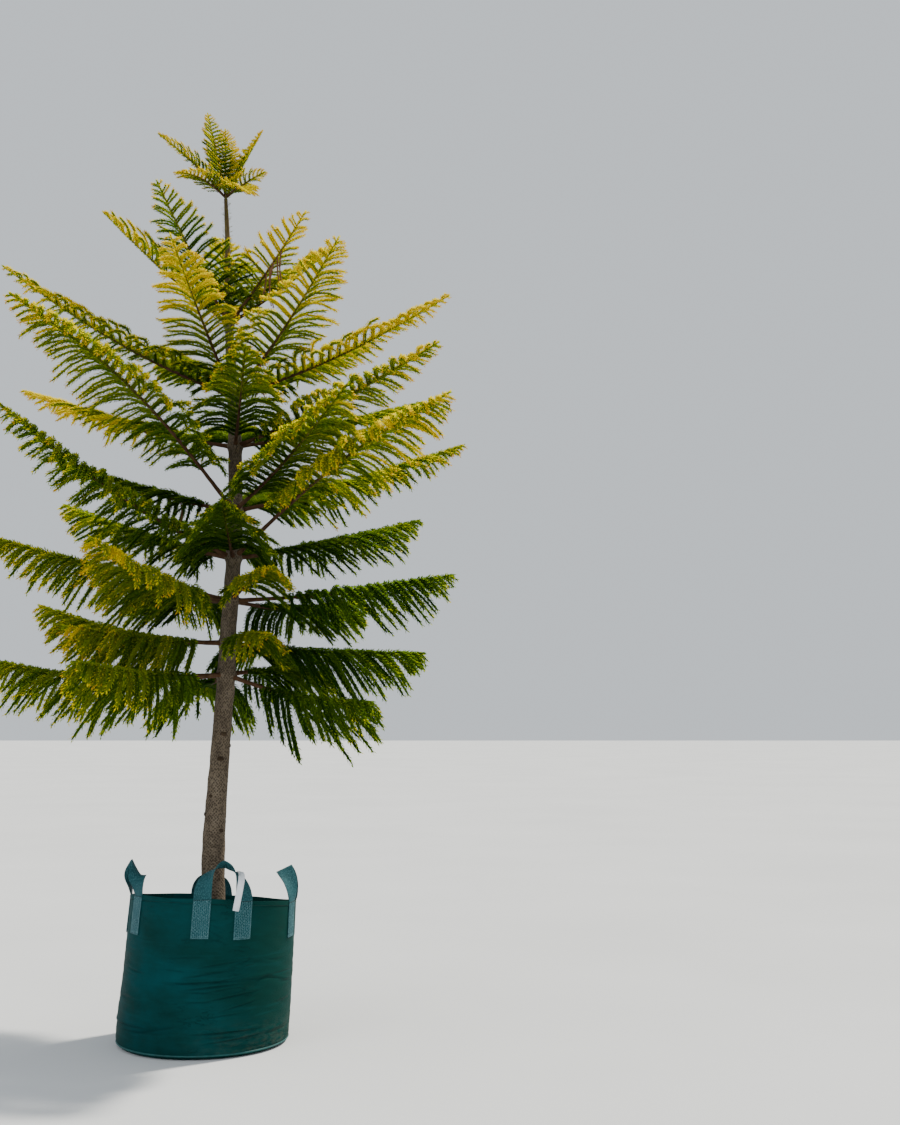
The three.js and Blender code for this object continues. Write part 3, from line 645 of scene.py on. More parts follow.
def describe_boughs():
    boughs = []
    for number, height, rows in WHORLS:
        start = trunk_at(height)[0]
        for side, *row in rows:
            name = f"foliage_whorl_{number}_{side}"
            boughs.append(Bough(name, start, row, 100 + len(boughs)))
    start = np.array([TRUNK_COURSE[-1, 1], 0, TOP_HEIGHT])
    tuft = [Bough("top_tuft", start, row, 11 + index) for index, row in enumerate(TOP_FRONDS)]
    return boughs, tuft


boughs, tuft = describe_boughs()
all_boughs = boughs + tuft


def trunk_relief(angle, height):
    """What the root flare, bark, leaf scars and bough collars add to the trunk's radius."""
    foot = TRUNK_COURSE[0, 0]
    lobes = ROOT_FLARE * np.cos(ROOT_LOBES * angle + 0.6) * np.exp(-(height - foot) / FLARE_HEIGHT)
    lumps = BARK_LUMPS * round_waves(angle, height, 3, 9, (1, 5), (0.06, 0.22))
    turns, climb = LEAF_SCAR_COLUMNS * angle, TURN * height / LEAF_SCAR_PITCH
    lattice = np.abs(np.sin(0.5 * (turns + climb))) * np.abs(np.sin(0.5 * (turns - climb)))
    scars = LEAF_SCARS * (np.sqrt(lattice) - 0.6)
    fine = BARK_GRAIN * round_waves(angle, height, 8, 14, (6, 22), (0.007, 0.03))
    relief = lobes + lumps + scars + fine
    for bough in boughs:
        turn = np.abs(turn_from(angle, math.atan2(bough.heading[1], bough.heading[0])))
        up = height - bough.start[2]
        relief += COLLAR_BULGE * np.exp(-(up / 0.017) ** 2 - (turn / 0.42) ** 2)
        relief += WHORL_RING * np.exp(-(up / 0.009) ** 2)
    return relief


def trunk_skin(low, high, rings, sides, relief_share):
    """A stretch of trunk as a closed skin with its relief, and the bark's own coordinates on it."""
    angle = math.pi / 2 + TURN * np.arange(sides) / sides
    angle, height = np.meshgrid(angle, np.linspace(low, high, rings))
    radius = smooth_course(height, 2) / 2 + relief_share * trunk_relief(angle, height)
    points = round_points(radius, angle, height)
    points[..., 0] += smooth_course(height, 1)
    ends = [[smooth_course(level, 1), 0, level] for level in (low, high)]
    ring, count = np.arange(sides), rings * sides
    caps = [fan(count, ring), fan(count + 1, ring + count - sides, -1)]
    uv = np.stack([angle * BARK_RADIUS, height], -1).reshape(-1, 2)
    shape = np.vstack([points.reshape(-1, 3), *ends]), np.vstack([skin_between(rings, sides), *caps])
    return shape, np.vstack([uv, [0, low], [0, high]])


def trunk_knots():
    """The scars of shed boughs on the bare trunk: low rings with a sunken middle."""
    oval = 1 + 0.18 * np.cos(2 * TURN * np.arange(KNOT_SIDES) / KNOT_SIDES)
    for height, degrees, size in KNOTS:
        out = level_direction(degrees)
        sunk_radius = smooth_course(height, 2) / 2 - 0.002
        foot = np.array([smooth_course(height, 1), 0.0, height]) + out * sunk_radius
        rough = np.random.default_rng(int(height * 1000)).uniform(0.72, 1.18, (1, 1, KNOT_SIDES))
        radii = (KNOT_SHARES * size)[..., None] * rough * oval
        yield tubes((foot + out * KNOT_RISES[:, None])[None], radii, KNOT_SIDES, UP)


def bough_tubes(low_share, high_share, rings, sides):
    """The boughs' limbs between two shares of their length, tapering, with a collar at the trunk."""
    at = np.linspace(low_share, high_share, rings)
    for bough in all_boughs:
        root = TUFT_LIMB_RADIUS if bough.is_tuft else lerp(*LIMB_RADIUS, bough.low)
        beyond = np.maximum(at * bough.reach - COLLAR_LENGTH, 0)
        collar = 1 + (not bough.is_tuft) * COLLAR_SWELL * np.exp(-beyond / COLLAR_FADE)
        rng = np.random.default_rng(bough.seed)
        rough = 1 + 0.06 * rng.standard_normal((rings, sides)) * (1 - 0.6 * at[:, None])
        radii = (lerp(root, LIMB_TIP_RADIUS, at ** 0.85) * collar)[:, None] * rough
        yield tubes(bough.point(at)[None], radii[None], sides, UP)


# Branchlets

def nearest_line(points, owner):
    """How far each point is from the other boughs' lines."""
    others = np.concatenate([bough.samples for bough in all_boughs if bough.node_name != owner.node_name])
    gaps = np.linalg.norm(points[..., None, :] - others, axis=-1)
    return gaps.min(-1)


def fitting_lengths(bough, root, heading, droop, full):
    """The longest share of each branchlet that keeps clear of the other boughs and of the trunk."""
    length = np.zeros_like(full)
    for share in SHORTER_SHARES:
        trial = full * share
        clear = trial > LEAST_BRANCHLET_LENGTH
        for out, down in TRIED_SPOTS:
            spot = root + along_each(heading, trial * out) - along_each(UP, droop * trial * down)
            centre, radius = trunk_at(spot[:, 2])
            clear &= np.linalg.norm(spot - centre, axis=-1) > radius + CLEAR_OF_TRUNK
            clear &= nearest_line(spot, bough) > CLEAR_OF_LINES
        length = np.where((length == 0) & clear, trial, length)
    return length


class Branchlets:
    """One bough's branchlets: arrays of roots, bends, tips, tip hooks, lengths and tones."""

    def __init__(self, *arrays):
        self.arrays = arrays
        self.root, self.bend, self.tip, self.hook, self.length, self.tone = arrays

    def chosen(self, rows):
        """Some of these branchlets."""
        return Branchlets(*(values[rows] for values in self.arrays))

    def course(self, rows, share):
        """Points and slopes at shares of the chosen branchlets: a droop that ends in an upturned hook."""
        root, bend, tip, hook = (values[rows] for values in self.arrays[:4])
        s = share[..., None]
        point = (1 - s) ** 2 * root + 2 * s * (1 - s) * bend + s ** 2 * tip + s ** 6 * hook
        slope = 2 * (1 - s) * (bend - root) + 2 * s * (tip - bend) + 6 * s ** 5 * hook
        return point, unit(slope)

    def sideways(self, rows):
        """A direction across each branchlet that holds along all of it."""
        return unit(np.cross(self.bend - self.root, self.tip - self.bend) + 1e-9)[rows]


def grow(bough):
    """The branchlets of one bough by the solids' rule, each no longer than its room allows."""
    stations = max(4, round(bough.run * (1 - bough.bare) / bough.spacing))
    count = 2 * stations
    draws = seeded_draws(bough.seed, count, 5)
    station = np.arange(count) // 2
    side = np.where(np.arange(count) % 2, 1.0, -1.0)
    parity = np.where(station % 2, 1.0, -1.0)
    along = (station + 0.5 + STAGGER * side * parity) / stations
    at = lerp(bough.bare, LAST_BRANCHLET_AT, along)
    root, tangent = bough.point(at), bough.tangent(at)
    across = along_each(unit(np.cross(tangent, UP)), side)
    lift = square_to(UP, tangent)
    forward = np.radians(lerp(*BRANCHLET_FORWARD, at) + FORWARD_SCATTER * (draws[:, 0] - 0.5))
    vee = np.radians(bough.vee + VEE_SCATTER * (draws[:, 1] - 0.5))
    outward = along_each(across, np.cos(vee)) + along_each(lift, np.sin(vee))
    heading = along_each(tangent, np.cos(forward)) + along_each(outward, np.sin(forward))
    first = forward + math.radians(FORWARD_BEND)
    setting_out = along_each(tangent, np.cos(first)) + along_each(outward, np.sin(first))
    opening = lerp(FROND_ROOT_SHARE, 1, smoothstep(along, 0, FROND_WIDEST))
    closing = 1 - FROND_TIP_LOSS * along ** FROND_TIP_POWER
    full = bough.longest * opening * closing * lerp(*LENGTH_SCATTER, draws[:, 2])
    droop = lerp(*BRANCHLET_DROOP, bough.low) * lerp(*DROOP_SCATTER, draws[:, 3])
    length = fitting_lengths(bough, root, heading, droop, full)
    kept = length > 0
    root, heading, droop, length = root[kept], heading[kept], droop[kept], length[kept]
    bend = root + along_each(setting_out[kept], length / 2)
    tip = root + along_each(heading, length) - along_each(UP, droop * length)
    hook = along_each(tangent[kept] + HOOK_LIFT * lift[kept], HOOK_SHARE * length)
    from_trunk = np.linalg.norm(tip - trunk_at(tip[:, 2])[0], axis=-1)
    # Painted light on the outer part of the bough, and painted shade near the trunk
    tone = bough.tone + lerp(*OUTER_LIGHT, bough.low) * (along[kept] - 0.55)
    tone += BRANCHLET_TONE_SCATTER * (draws[kept, 4] - 0.5)
    tone -= SHADE_DEPTH * np.exp(-(from_trunk / SHADE_REACH) ** 2) * (not bough.is_tuft)
    return Branchlets(root, bend, tip, hook, length, tone)


def around(tangent, normal, turn):
    """Directions out of a line, turned round it from its normal."""
    return along_each(normal, np.cos(turn)) + along_each(np.cross(tangent, normal), np.sin(turn))


def needle_corners(point, tangent, radial, length, width, lean, stand):
    """Needles in two faces folded along the middle, broadest at their bend, which turns them inward."""
    side = np.cross(tangent, radial) * width / 2
    ahead, out = length * np.cos(lean), length * np.sin(lean)
    base = point + along_each(radial, stand)
    bend = base + along_each(tangent, 0.42 * ahead) + along_each(radial, 0.56 * out)
    tip = base + along_each(tangent, 1.02 * ahead) + along_each(radial, out)
    return np.stack([base, bend - side, tip, bend + side], 1)


def branchlet_needles(bough, branchlets, rng):
    """Needles in a spiral round every branchlet to its blunt tip, and the tone of each."""
    length = branchlets.length
    counts = np.maximum(6, np.round(length / NEEDLE_SPACING)).astype(int)
    owner = np.repeat(np.arange(len(length)), counts)
    count = len(owner)
    order = np.arange(count) - np.repeat(np.cumsum(counts) - counts, counts)
    share = lerp(0.015, 1.0, (order + rng.uniform(0.1, 0.9, count)) / counts[owner])
    point, tangent = branchlets.course(owner, share)
    normal = square_to(branchlets.sideways(owner), tangent)
    radial = around(tangent, normal, order * GOLDEN_ANGLE + rng.uniform(-0.35, 0.35, count))
    size = lerp(*NEEDLE_LENGTH, bough.low) * rng.uniform(*NEEDLE_SIZE_SCATTER, count)
    size *= lerp(0.55, 1, np.clip(length[owner] / 0.10, 0, 1))
    lean = NEEDLE_LEAN + rng.uniform(-1, 1, count) * NEEDLE_LEAN_SCATTER
    slim = np.clip(length[owner] / FULL_ROPE_LENGTH, SLIMMEST_ROPE, 1)
    stand = 0.85 * lerp(*ROPE_RADIUS, bough.low) * slim
    stand *= 1 - 0.7 * smoothstep(share, 0.93, 1.0)
    width = lerp(*NEEDLE_WIDTH, bough.low)
    corners = needle_corners(point, tangent, radial, size, width, lean, stand)
    # Painted light towards the branchlet's end and on the needles that face up
    tone = branchlets.tone[owner] + ALONG_LIGHT * (share - 0.5)
    tone += rng.uniform(-NEEDLE_TONE_SCATTER, NEEDLE_TONE_SCATTER, count)
    tone += END_LIGHT * smoothstep(share, 0.84, 1.0) + lerp(*TOP_LIGHT, bough.low) * radial[:, 2]
    budding = length[owner] * (1 - share) < rng.uniform(*BUD_LENGTH, count)
    budding &= branchlets.tone[owner] > lerp(*BUDDING_TONE, bough.low)
    return corners, np.where(budding, TIP_TONE, tone)


def line_needles(bough, rng):
    """The needles that stand on a bough's own line, closer towards its tip."""
    low_share = max(LINE_NEEDLES_FROM, bough.bare)
    count = int(bough.run * (1 - low_share) / LINE_NEEDLE_SPACING)
    share = np.sort(lerp(low_share, 1.0, rng.uniform(0, 1, count) ** 0.75))
    point, tangent = bough.point(share), bough.tangent(share)
    radial = around(tangent, square_to(UP, tangent), np.arange(count) * GOLDEN_ANGLE)
    size = lerp(*NEEDLE_LENGTH, bough.low) * rng.uniform(0.9, 1.2, count) * min(1, 0.5 + bough.reach / 0.5)
    lean = NEEDLE_LEAN * (1 - 0.5 * share ** 12) + rng.uniform(-0.1, 0.1, count)
    width = lerp(*NEEDLE_WIDTH, bough.low)
    corners = needle_corners(point, tangent, radial, size, width, lean, lerp(0.003, 0.001, share))
    # Painted light on the outer part of the bough and on the needles that face up
    tone = bough.tone + lerp(*OUTER_LIGHT, bough.low) * (share - 0.75)
    tone += rng.uniform(-NEEDLE_TONE_SCATTER, NEEDLE_TONE_SCATTER, count)
    tone += lerp(*TOP_LIGHT, bough.low) * radial[:, 2]
    return corners, tone


def needle_shape(corners):
    first = 4 * np.arange(len(corners))[:, None]
    faces = np.concatenate([first + [0, 2, 1], first + [0, 3, 2]], 1).reshape(-1, 3)
    return corners.reshape(-1, 3), faces


def rope_cores(bough, branchlets):
    """The green skin of each branchlet under its needles, as thick to its blunt end."""
    count = len(branchlets.length)
    share = np.broadcast_to(np.array([0, 0.33, 0.66, 0.95, 1.0]), (count, 5))
    line, _ = branchlets.course(np.arange(count)[:, None], share)
    slim = np.clip(branchlets.length / FULL_ROPE_LENGTH, SLIMMEST_ROPE, 1)[:, None]
    radius = lerp(*ROPE_RADIUS, bough.low) * slim * np.array([1.0, 1.0, 1.0, 0.9, 0.4])
    return tubes(line, radius[..., None], 4, branchlets.sideways(np.arange(count))[:, None])


def add_foliage():
    """Branchlets and needles of the whole tree, sorted by their tone into pieces."""
    rng = np.random.default_rng(29)
    cores = [[] for _ in TONE_KINDS]
    grown = []
    for index, bough in enumerate(all_boughs):
        branchlets = grow(bough)
        for corners, tone in (branchlet_needles(bough, branchlets, rng), line_needles(bough, rng)):
            grown.append((corners, tone, np.full(len(tone), index)))
        kinds = np.digitize(branchlets.tone, TONE_EDGES)
        for kind in np.unique(kinds):
            cores[kind].append(rope_cores(bough, branchlets.chosen(kinds == kind)))
    corners, tone, owner = (np.concatenate(values) for values in zip(*grown))
    kinds = np.digitize(tone, TONE_EDGES)
    most = PIECE_TRIANGLES // 2
    for kind, name in enumerate(TONE_KINDS):
        front, glow = NEEDLE_COLOURS[name]
        material = needle_material(f"needles_{name}", front, glow)
        if cores[kind]:
            # The skin is darker than its needles: painted shade between them
            skin = needle_material(f"branchlets_{name}", tuple(CORE_SHADE * c for c in front), glow)
            nodes = sorted({bough.node_name for bough in all_boughs})
            add_piece(f"branchlets_{name}", joined(cores[kind]), skin, "foliage", nodes)
        chosen = np.flatnonzero(kinds == kind)
        for part in range(math.ceil(len(chosen) / most)):
            rows = chosen[part * most:(part + 1) * most]
            nodes = sorted({all_boughs[index].node_name for index in np.unique(owner[rows])})
            add_piece(f"needles_{name}_{part + 1}", needle_shape(corners[rows]), material, "foliage", nodes)


def add_trunk():
    skin, uv = trunk_skin(TRUNK_COURSE[0, 0] - JOINT_OVERLAP, LEADER_FOOT, 430, 54, 1.0)
    add_piece("trunk_skin", skin, bark_material("trunk_bark"), "bark", ["trunk"], uv)
    add_piece("trunk_knots", joined(trunk_knots()), bark_material("knot_bark"), "bark")
    leader, uv = trunk_skin(LEADER_FOOT - JOINT_OVERLAP, TOP_HEIGHT - JOINT_OVERLAP, 90, 20, 0.35)
    add_piece("leader_skin", leader, bark_material("leader_bark"), "bark", ["trunk"], uv)
    limbs = sorted(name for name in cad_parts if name.startswith("bough_"))
    for name, bark, slot, low_share, high_share, rings, sides in (
        ("bough_skin", "limb_bark", "bough_bark", 0, LIMB_GREEN_FROM, 34, 9),
        ("bough_tips", "tip_bark", "foliage", LIMB_GREEN_FROM - 0.01, 1.0, 14, 6),
    ):
        skin = joined(bough_tubes(low_share, high_share, rings, sides))
        add_piece(name, skin, bark_material(bark), slot, limbs)


# Grow bag

def bag_radius(height):
    taper = (height - BAG_TAPER_START) / (BAG_HEIGHT - BAG_TAPER_START)
    return lerp(BAG_RADIUS, BAG_RIM_RADIUS, np.clip(taper, 0, 1))


def settle(points):
    """The bag leans to the right, and its rim has sunk there and at the back."""
    share = points[..., 2] / BAG_HEIGHT
    settled = points.copy()
    sink = (BAG_BACK_SINK * points[..., 1] + BAG_SIDE_SINK * points[..., 0]) / BAG_RADIUS
    settled[..., 0] += BAG_RIM_SHIFT * share
    settled[..., 2] -= sink * share
    return settled


# The creases that the photograph shows: turn from FRONT_CREASE_ANGLE and half length in radians,
# height, slope, sag, depth
FRONT_CREASE_ANGLE = math.radians(-86)
FRONT_CREASES = [
    (0.02, 0.62, 0.262, 0.020, 0.005, 0.0034), (0.14, 0.50, 0.247, 0.035, 0.004, 0.0030),
    (0.10, 0.44, 0.292, 0.055, 0.004, 0.0026), (0.22, 0.42, 0.325, 0.050, 0.005, 0.0022),
    (0.02, 0.30, 0.228, -0.010, 0.004, 0.0024), (0.00, 0.26, 0.196, 0.010, 0.005, 0.0024),
    (0.38, 0.44, 0.215, 0.050, 0.006, 0.0030), (0.34, 0.56, 0.092, 0.010, 0.003, 0.0036),
    (0.45, 0.52, 0.066, 0.030, 0.002, 0.0034), (-0.16, 0.30, 0.345, 0.020, 0.004, 0.0018),
    (0.12, 0.20, 0.430, -0.150, 0.006, 0.0024), (0.17, 0.16, 0.405, -0.080, 0.005, 0.0022),
    (0.14, 0.18, 0.452, -0.110, 0.004, 0.0018), (0.30, 0.34, 0.272, 0.060, 0.004, 0.0022),
    (0.26, 0.30, 0.238, 0.045, 0.004, 0.0022), (0.46, 0.30, 0.180, 0.070, 0.004, 0.0024),
    (0.30, 0.40, 0.150, 0.030, 0.003, 0.0022), (-0.30, 0.26, 0.300, -0.020, 0.004, 0.0018),
]


def cloth_creases():
    """Creases: centre angle, half length in radians, height, slope, sag, depth, width."""
    rng = np.random.default_rng(41)

    def crowd(count, half, level, slope, sag, depth, width):
        """Seeded creases that keep to a few ranges."""
        return [
            (rng.uniform(0, TURN), rng.uniform(*half), level(), rng.normal(0.0, slope), rng.normal(*sag),
             rng.uniform(*depth), rng.uniform(*width))
            for _ in range(count)
        ]

    creases = crowd(40, (0.16, 0.50), lambda: rng.triangular(0.10, 0.25, 0.42), 0.035, (0.006, 0.008),
                    (0.0006, 0.0022), (0.0036, 0.0062))
    creases += crowd(14, (0.25, 0.6), lambda: rng.uniform(0.035, 0.10), 0.03, (0.0, 0.006),
                     (0.0010, 0.0026), (0.0040, 0.0066))
    return creases + [(FRONT_CREASE_ANGLE + row[0], *row[1:], 0.0033) for row in FRONT_CREASES]


def crease_fold(angle, height):
    """How far the creases push the cloth out or in, and how deep each place lies in them, from 0 to 1; the
    cloth paints that depth as shade.
    """
    relief = np.zeros(np.broadcast(angle, height).shape)
    depth_mark = np.zeros_like(relief)
    for centre, half, level, slope, sag, depth, width in cloth_creases():
        turn = turn_from(angle, centre)
        reach = np.clip(1 - (turn / half) ** 2, 0, 1) ** 1.5
        gap = height - (level + slope * turn - sag * (turn / half) ** 2)
        valley = np.exp(-(gap / width) ** 2)
        relief += reach * depth * (0.75 * np.exp(-((gap - 1.8 * width) / (1.35 * width)) ** 2) - valley)
        depth_mark = np.maximum(depth_mark, reach * valley * min(1, depth / 0.0038))
    return relief, depth_mark


def cloth_relief(angle, height):
    """How far the filled cloth bulges and creases outward. It lies flat under the sewn straps."""
    relief = CLOTH_BULGE * round_waves(angle, height, 5, 7, (2, 6), (0.25, 0.8))
    relief += CLOTH_RIPPLE * round_waves(angle, height, 6, 12, (5, 16), (0.035, 0.10))
    relief += crease_fold(angle, height)[0]
    relief *= smoothstep(height, 0.0, 0.045) * (1 - 0.75 * smoothstep(height, 0.45, BAG_HEIGHT))
    half_width = STRAP_WIDTH / 2 / BAG_RIM_RADIUS
    strap_foot = BAG_HEIGHT - STRAP_SEWN_LENGTH
    for middle, spacing, *_ in HANDLES.values():
        for side in (-1, 1):
            leg = side * spacing / 2 / BAG_RIM_RADIUS
            turn = np.abs(turn_from(angle, math.radians(middle) + leg))
            flat = 1 - smoothstep(turn, half_width, half_width + 0.05)
            flat = flat * smoothstep(height, strap_foot - 0.02, strap_foot)
            relief *= 1 - flat
            relief -= STRAP_PRESS * flat
    seam = np.exp(-((height - HEM_FOOT) / HEM_SEAM_WIDTH) ** 2)
    return relief + HEM_THICKNESS * smoothstep(height, HEM_FOOT, HEM_FULL) - HEM_SEAM_DEPTH * seam


def bag_shell():
    """The bag as one skin: underside, foot, wall, rolled hem and the inside down to the potting mix."""
    columns = 224
    angle = TURN * np.arange(columns) / columns
    # Rows up the skin: radius, height and share of the cloth's relief
    rows = [(radius, 0.0, 0.0) for radius in (0.004, 0.10, 0.20, BAG_RADIUS - BAG_FOOT_ROUND)]
    for step in range(1, 6):
        turn = math.pi / 2 * step / 6
        inset, rise = BAG_FOOT_ROUND * (1 - math.sin(turn)), BAG_FOOT_ROUND * (1 - math.cos(turn))
        rows.append((BAG_RADIUS - inset, rise, 0.0))
    below_hem = np.linspace(BAG_FOOT_ROUND, BAG_HEIGHT - 0.027, 140)
    hem = np.linspace(BAG_HEIGHT - 0.0255, BAG_HEIGHT - 0.001, 20)
    rows += [(bag_radius(height), height, 1.0) for height in (*below_hem, *hem)]
    rows += [(BAG_RIM_RADIUS - inset, BAG_HEIGHT - drop, 1.0) for inset, drop in RIM_ROUND]
    lining = np.linspace(BAG_HEIGHT - 0.004, MIX_EDGE_HEIGHT - 0.050, 16)
    rows += [(bag_radius(height) - LINING_INSET, height, 1.0) for height in lining]
    radius, height, share = (np.array(values)[:, None] for values in zip(*rows))
    wall = radius + share * cloth_relief(angle[None], np.maximum(height, 0))
    points = round_points(wall, angle, height)
    sag = RIM_SAG * round_waves(angle, 0.0, 12, 5, (2, 7), (1.0, 2.0))
    points[..., 2] += sag * smoothstep(height, 0.40, BAG_HEIGHT)
    vertices = np.vstack([settle(points).reshape(-1, 3), [0, 0, 0]])
    run = run_along(np.hstack([radius, height]))
    uv = np.stack(np.broadcast_arrays(angle * BAG_RADIUS, run[:, None]), -1).reshape(-1, 2)
    underside = fan(len(vertices) - 1, np.arange(columns))
    creased = np.append((share * crease_fold(angle[None], height)[1]).ravel(), 0)
    shape = vertices, np.vstack([skin_between(len(rows), columns), underside])
    return shape, np.vstack([uv, [0, 0]]), creased


def bag_piping():
    """The raised edge round the bag's foot, closed on itself."""
    steps = 260
    angle = TURN * (np.arange(steps + 2) % steps) / steps
    line = settle(round_points(BAG_RADIUS - PIPING_INSET, angle, PIPING_HEIGHT))[None]
    return tubes(line, np.full((1, steps + 2, 1), PIPING_RADIUS), 6, UP)


def cloth_material():
    """Woven tape cloth: fine weave, broad cloudy tone, painted shade in the creases and wrinkles and towards
    the right, and a little dust low on the right.
    """
    material, tree = new_material("bag_cloth", Roughness=0.62, Specular_IOR_Level=0.04)
    cloud = noise(tree, place(tree, scale=(1, 1, 1.6)), 4.2, 5.0, 0.6)
    base = ramp(tree, cloud, [
        (0.30, (0.0003, 0.0240, 0.0205)), (0.50, (0.0004, 0.0370, 0.0375)), (0.72, (0.0006, 0.0530, 0.0600)),
    ])
    across = node(tree, "ShaderNodeSeparateXYZ", {"Vector": place(tree)}).outputs
    # Painted shade: the cloth turns darker and greener towards the right
    right_painted_shade = share_between(tree, across["X"], -0.05, 0.32, 0.75)
    base = blend(tree, right_painted_shade, base, (0.0005, 0.0260, 0.0180))
    streak = mottled(tree, [(0.55, 0.0), (0.80, 0.30)], 5.5, 4.0, 0.6, scale=(1, 1, 12))
    base = blend(tree, streak, base, (0.0020, 0.0700, 0.0750))
    # Painted shade in the folds: thin wrinkle lines in patches and the depth of the creases darken the
    # cloth; both also sink it by a bump
    field = noise(tree, place(tree, scale=(1, 1, 4.5)), 11.0, 3.0, 0.55, 0.4)
    wrinkle = ramp(tree, field, [(0.478, 0.0), (0.498, 1.0), (0.502, 1.0), (0.518, 0.0)])
    patchy = mottled(tree, [(0.50, 0.0), (0.64, 1.0)], 5.0, 2.0, scale=(1, 1, 2))
    wrinkle = times(tree, wrinkle, times(tree, patchy, 0.5))
    crease = node(tree, "ShaderNodeAttribute", attribute_name="creased").outputs["Fac"]
    folds = maths(tree, "MAXIMUM", ramp(tree, crease, [(0.15, 0.0), (0.95, 0.80)]), wrinkle)
    base = blend(tree, times(tree, folds, 0.85), base, (0.0002, 0.0060, 0.0055))
    side = maths(tree, "MULTIPLY_ADD", across["X"], 1.1, 0.05)
    low = share_between(tree, across["Z"], 0.15, 0.02)
    speckle = mottled(tree, [(0.42, 0.0), (0.72, 1.0)], 24.0, 6.0, 0.7, scale=(1, 1, 2.5))
    base = blend(tree, times(tree, times(tree, low, side), speckle), base, (0.12, 0.11, 0.075))
    metres = place(tree, "UV")
    weave = times(tree, bands(tree, metres, 0.0026, "X"), bands(tree, metres, 0.0026, "Y"))
    base = blend(tree, times(tree, weave, 0.14), base, (0.0030, 0.0950, 0.0950))
    soft = bump(tree, noise(tree, place(tree, scale=(1, 1, 3)), 34.0, 4.0, 0.6), 0.30, 0.0014)
    folded = bump(tree, times(tree, folds, -1.0), 0.8, 0.0030, soft)
    paint(tree, Base_Color=base, Roughness=ramp(tree, cloud, [(0.3, 0.55), (0.7, 0.70)]),
          Normal=bump(tree, weave, 0.5, 0.0005, folded))
    return material


def webbing_material():
    """Webbing: close ribs along and across the strap with a painted highlight on their tops, and flecks of
    pale thread.
    """
    material, tree = new_material("webbing", Roughness=0.72, Specular_IOR_Level=0.15)
    metres = place(tree, "UV")
    ribs, picks = bands(tree, metres, 0.0030, "X"), bands(tree, metres, 0.0024, "Y")
    base = mottled(tree, [(0.32, (0.0040, 0.040, 0.048)), (0.68, (0.0080, 0.060, 0.072))], 18.0, 4.0)
    # Painted highlight: the ribs' tops are paler
    base = blend(tree, times(tree, ribs, 0.35), base, (0.0200, 0.105, 0.122))
    flecks = mottled(tree, [(0.50, 0.0), (0.60, 1.0)], 300.0, 1.0, kind="UV", scale=(1, 0.55, 1))
    base = blend(tree, times(tree, flecks, 0.55), base, (0.050, 0.150, 0.165))
    height = maths(tree, "ADD", ribs, times(tree, picks, 0.6))
    paint(tree, Base_Color=base, Normal=bump(tree, height, 0.7, 0.0006))
    return material


def thread_material(name, pale, dark):
    """A plain mottled colour, for threads, chips and other small things."""
    material, tree = new_material(name, Roughness=0.6, Specular_IOR_Level=0.35)
    paint(tree, Base_Color=mottled(tree, [(0.35, dark), (0.65, pale)], 90.0))
    return material


def strap_frame(handle, u):
    """Centre, direction across and outward face of a handle's strap, at shares u of its run."""
    handle_angle, spacing, loop_rise, lean, sway, twist = HANDLES[handle]
    u = np.atleast_1d(u)
    leg_angle = spacing / 2 / BAG_RIM_RADIUS
    middle = math.radians(handle_angle)
    radial = level_direction(handle_angle)
    along = np.cross(UP, radial)
    sign = np.where(u < 0.5, -1.0, 1.0)
    share = np.minimum(u, 1 - u) / STRAP_SEWN_SHARE
    sewn = share <= 1
    turn = math.pi * np.clip((u - STRAP_SEWN_SHARE) / (1 - 2 * STRAP_SEWN_SHARE), 0, 1)

    def on_wall(side, height):
        angle = middle + side * leg_angle
        outward = round_points(1.0, angle, 0.0)
        reach = bag_radius(height) + SEAT_GAP + STRAP_THICKNESS / 2
        spot = settle(along_each(outward, reach) + along_each(UP, height))
        return spot, along_each(np.cross(UP, outward), side), outward

    height = BAG_HEIGHT - STRAP_SEWN_LENGTH * (1 - np.minimum(share, 1))
    wall_centre, wall_across, wall_outward = on_wall(sign, height)
    rim_height = np.full_like(u, BAG_HEIGHT)
    foot, foot_across, _ = on_wall(sign, rim_height)
    other, _, _ = on_wall(-sign, rim_height)
    rise = np.sin(turn)
    spread = np.abs(np.cos(turn)) ** LOOP_NARROWING
    centre = (foot + other) / 2 + along_each((foot - other) / 2, spread)
    centre = centre + along_each(UP, loop_rise * rise) + along_each(sway * along - lean * radial, rise ** 2)
    tangent = along_each(along, rise) + along_each(UP, np.cos(turn))
    apex_across = math.cos(math.radians(twist)) * UP - math.sin(math.radians(twist)) * radial
    across = along_each(foot_across, spread) + along_each(apex_across, rise)
    across = square_to(across, tangent)
    outward = np.cross(tangent, across)
    pick = sewn[:, None]
    return (np.where(pick, wall_centre, centre), np.where(pick, wall_across, across),
            np.where(pick, wall_outward, outward), np.clip(share, 0, 1.6))


def strap_point(handle, u, aside, lift):
    """A point on a strap's face: aside across it, lift off its middle plane.

    The strap hugs the round wall where it is sewn.
    """
    centre, across, outward, share = strap_frame(handle, u)
    hug = -(aside ** 2) / (2 * BAG_RIM_RADIUS) * (1 - smoothstep(share, 0.95, 1.6))
    return centre + along_each(across, aside) + along_each(outward, lift + hug)


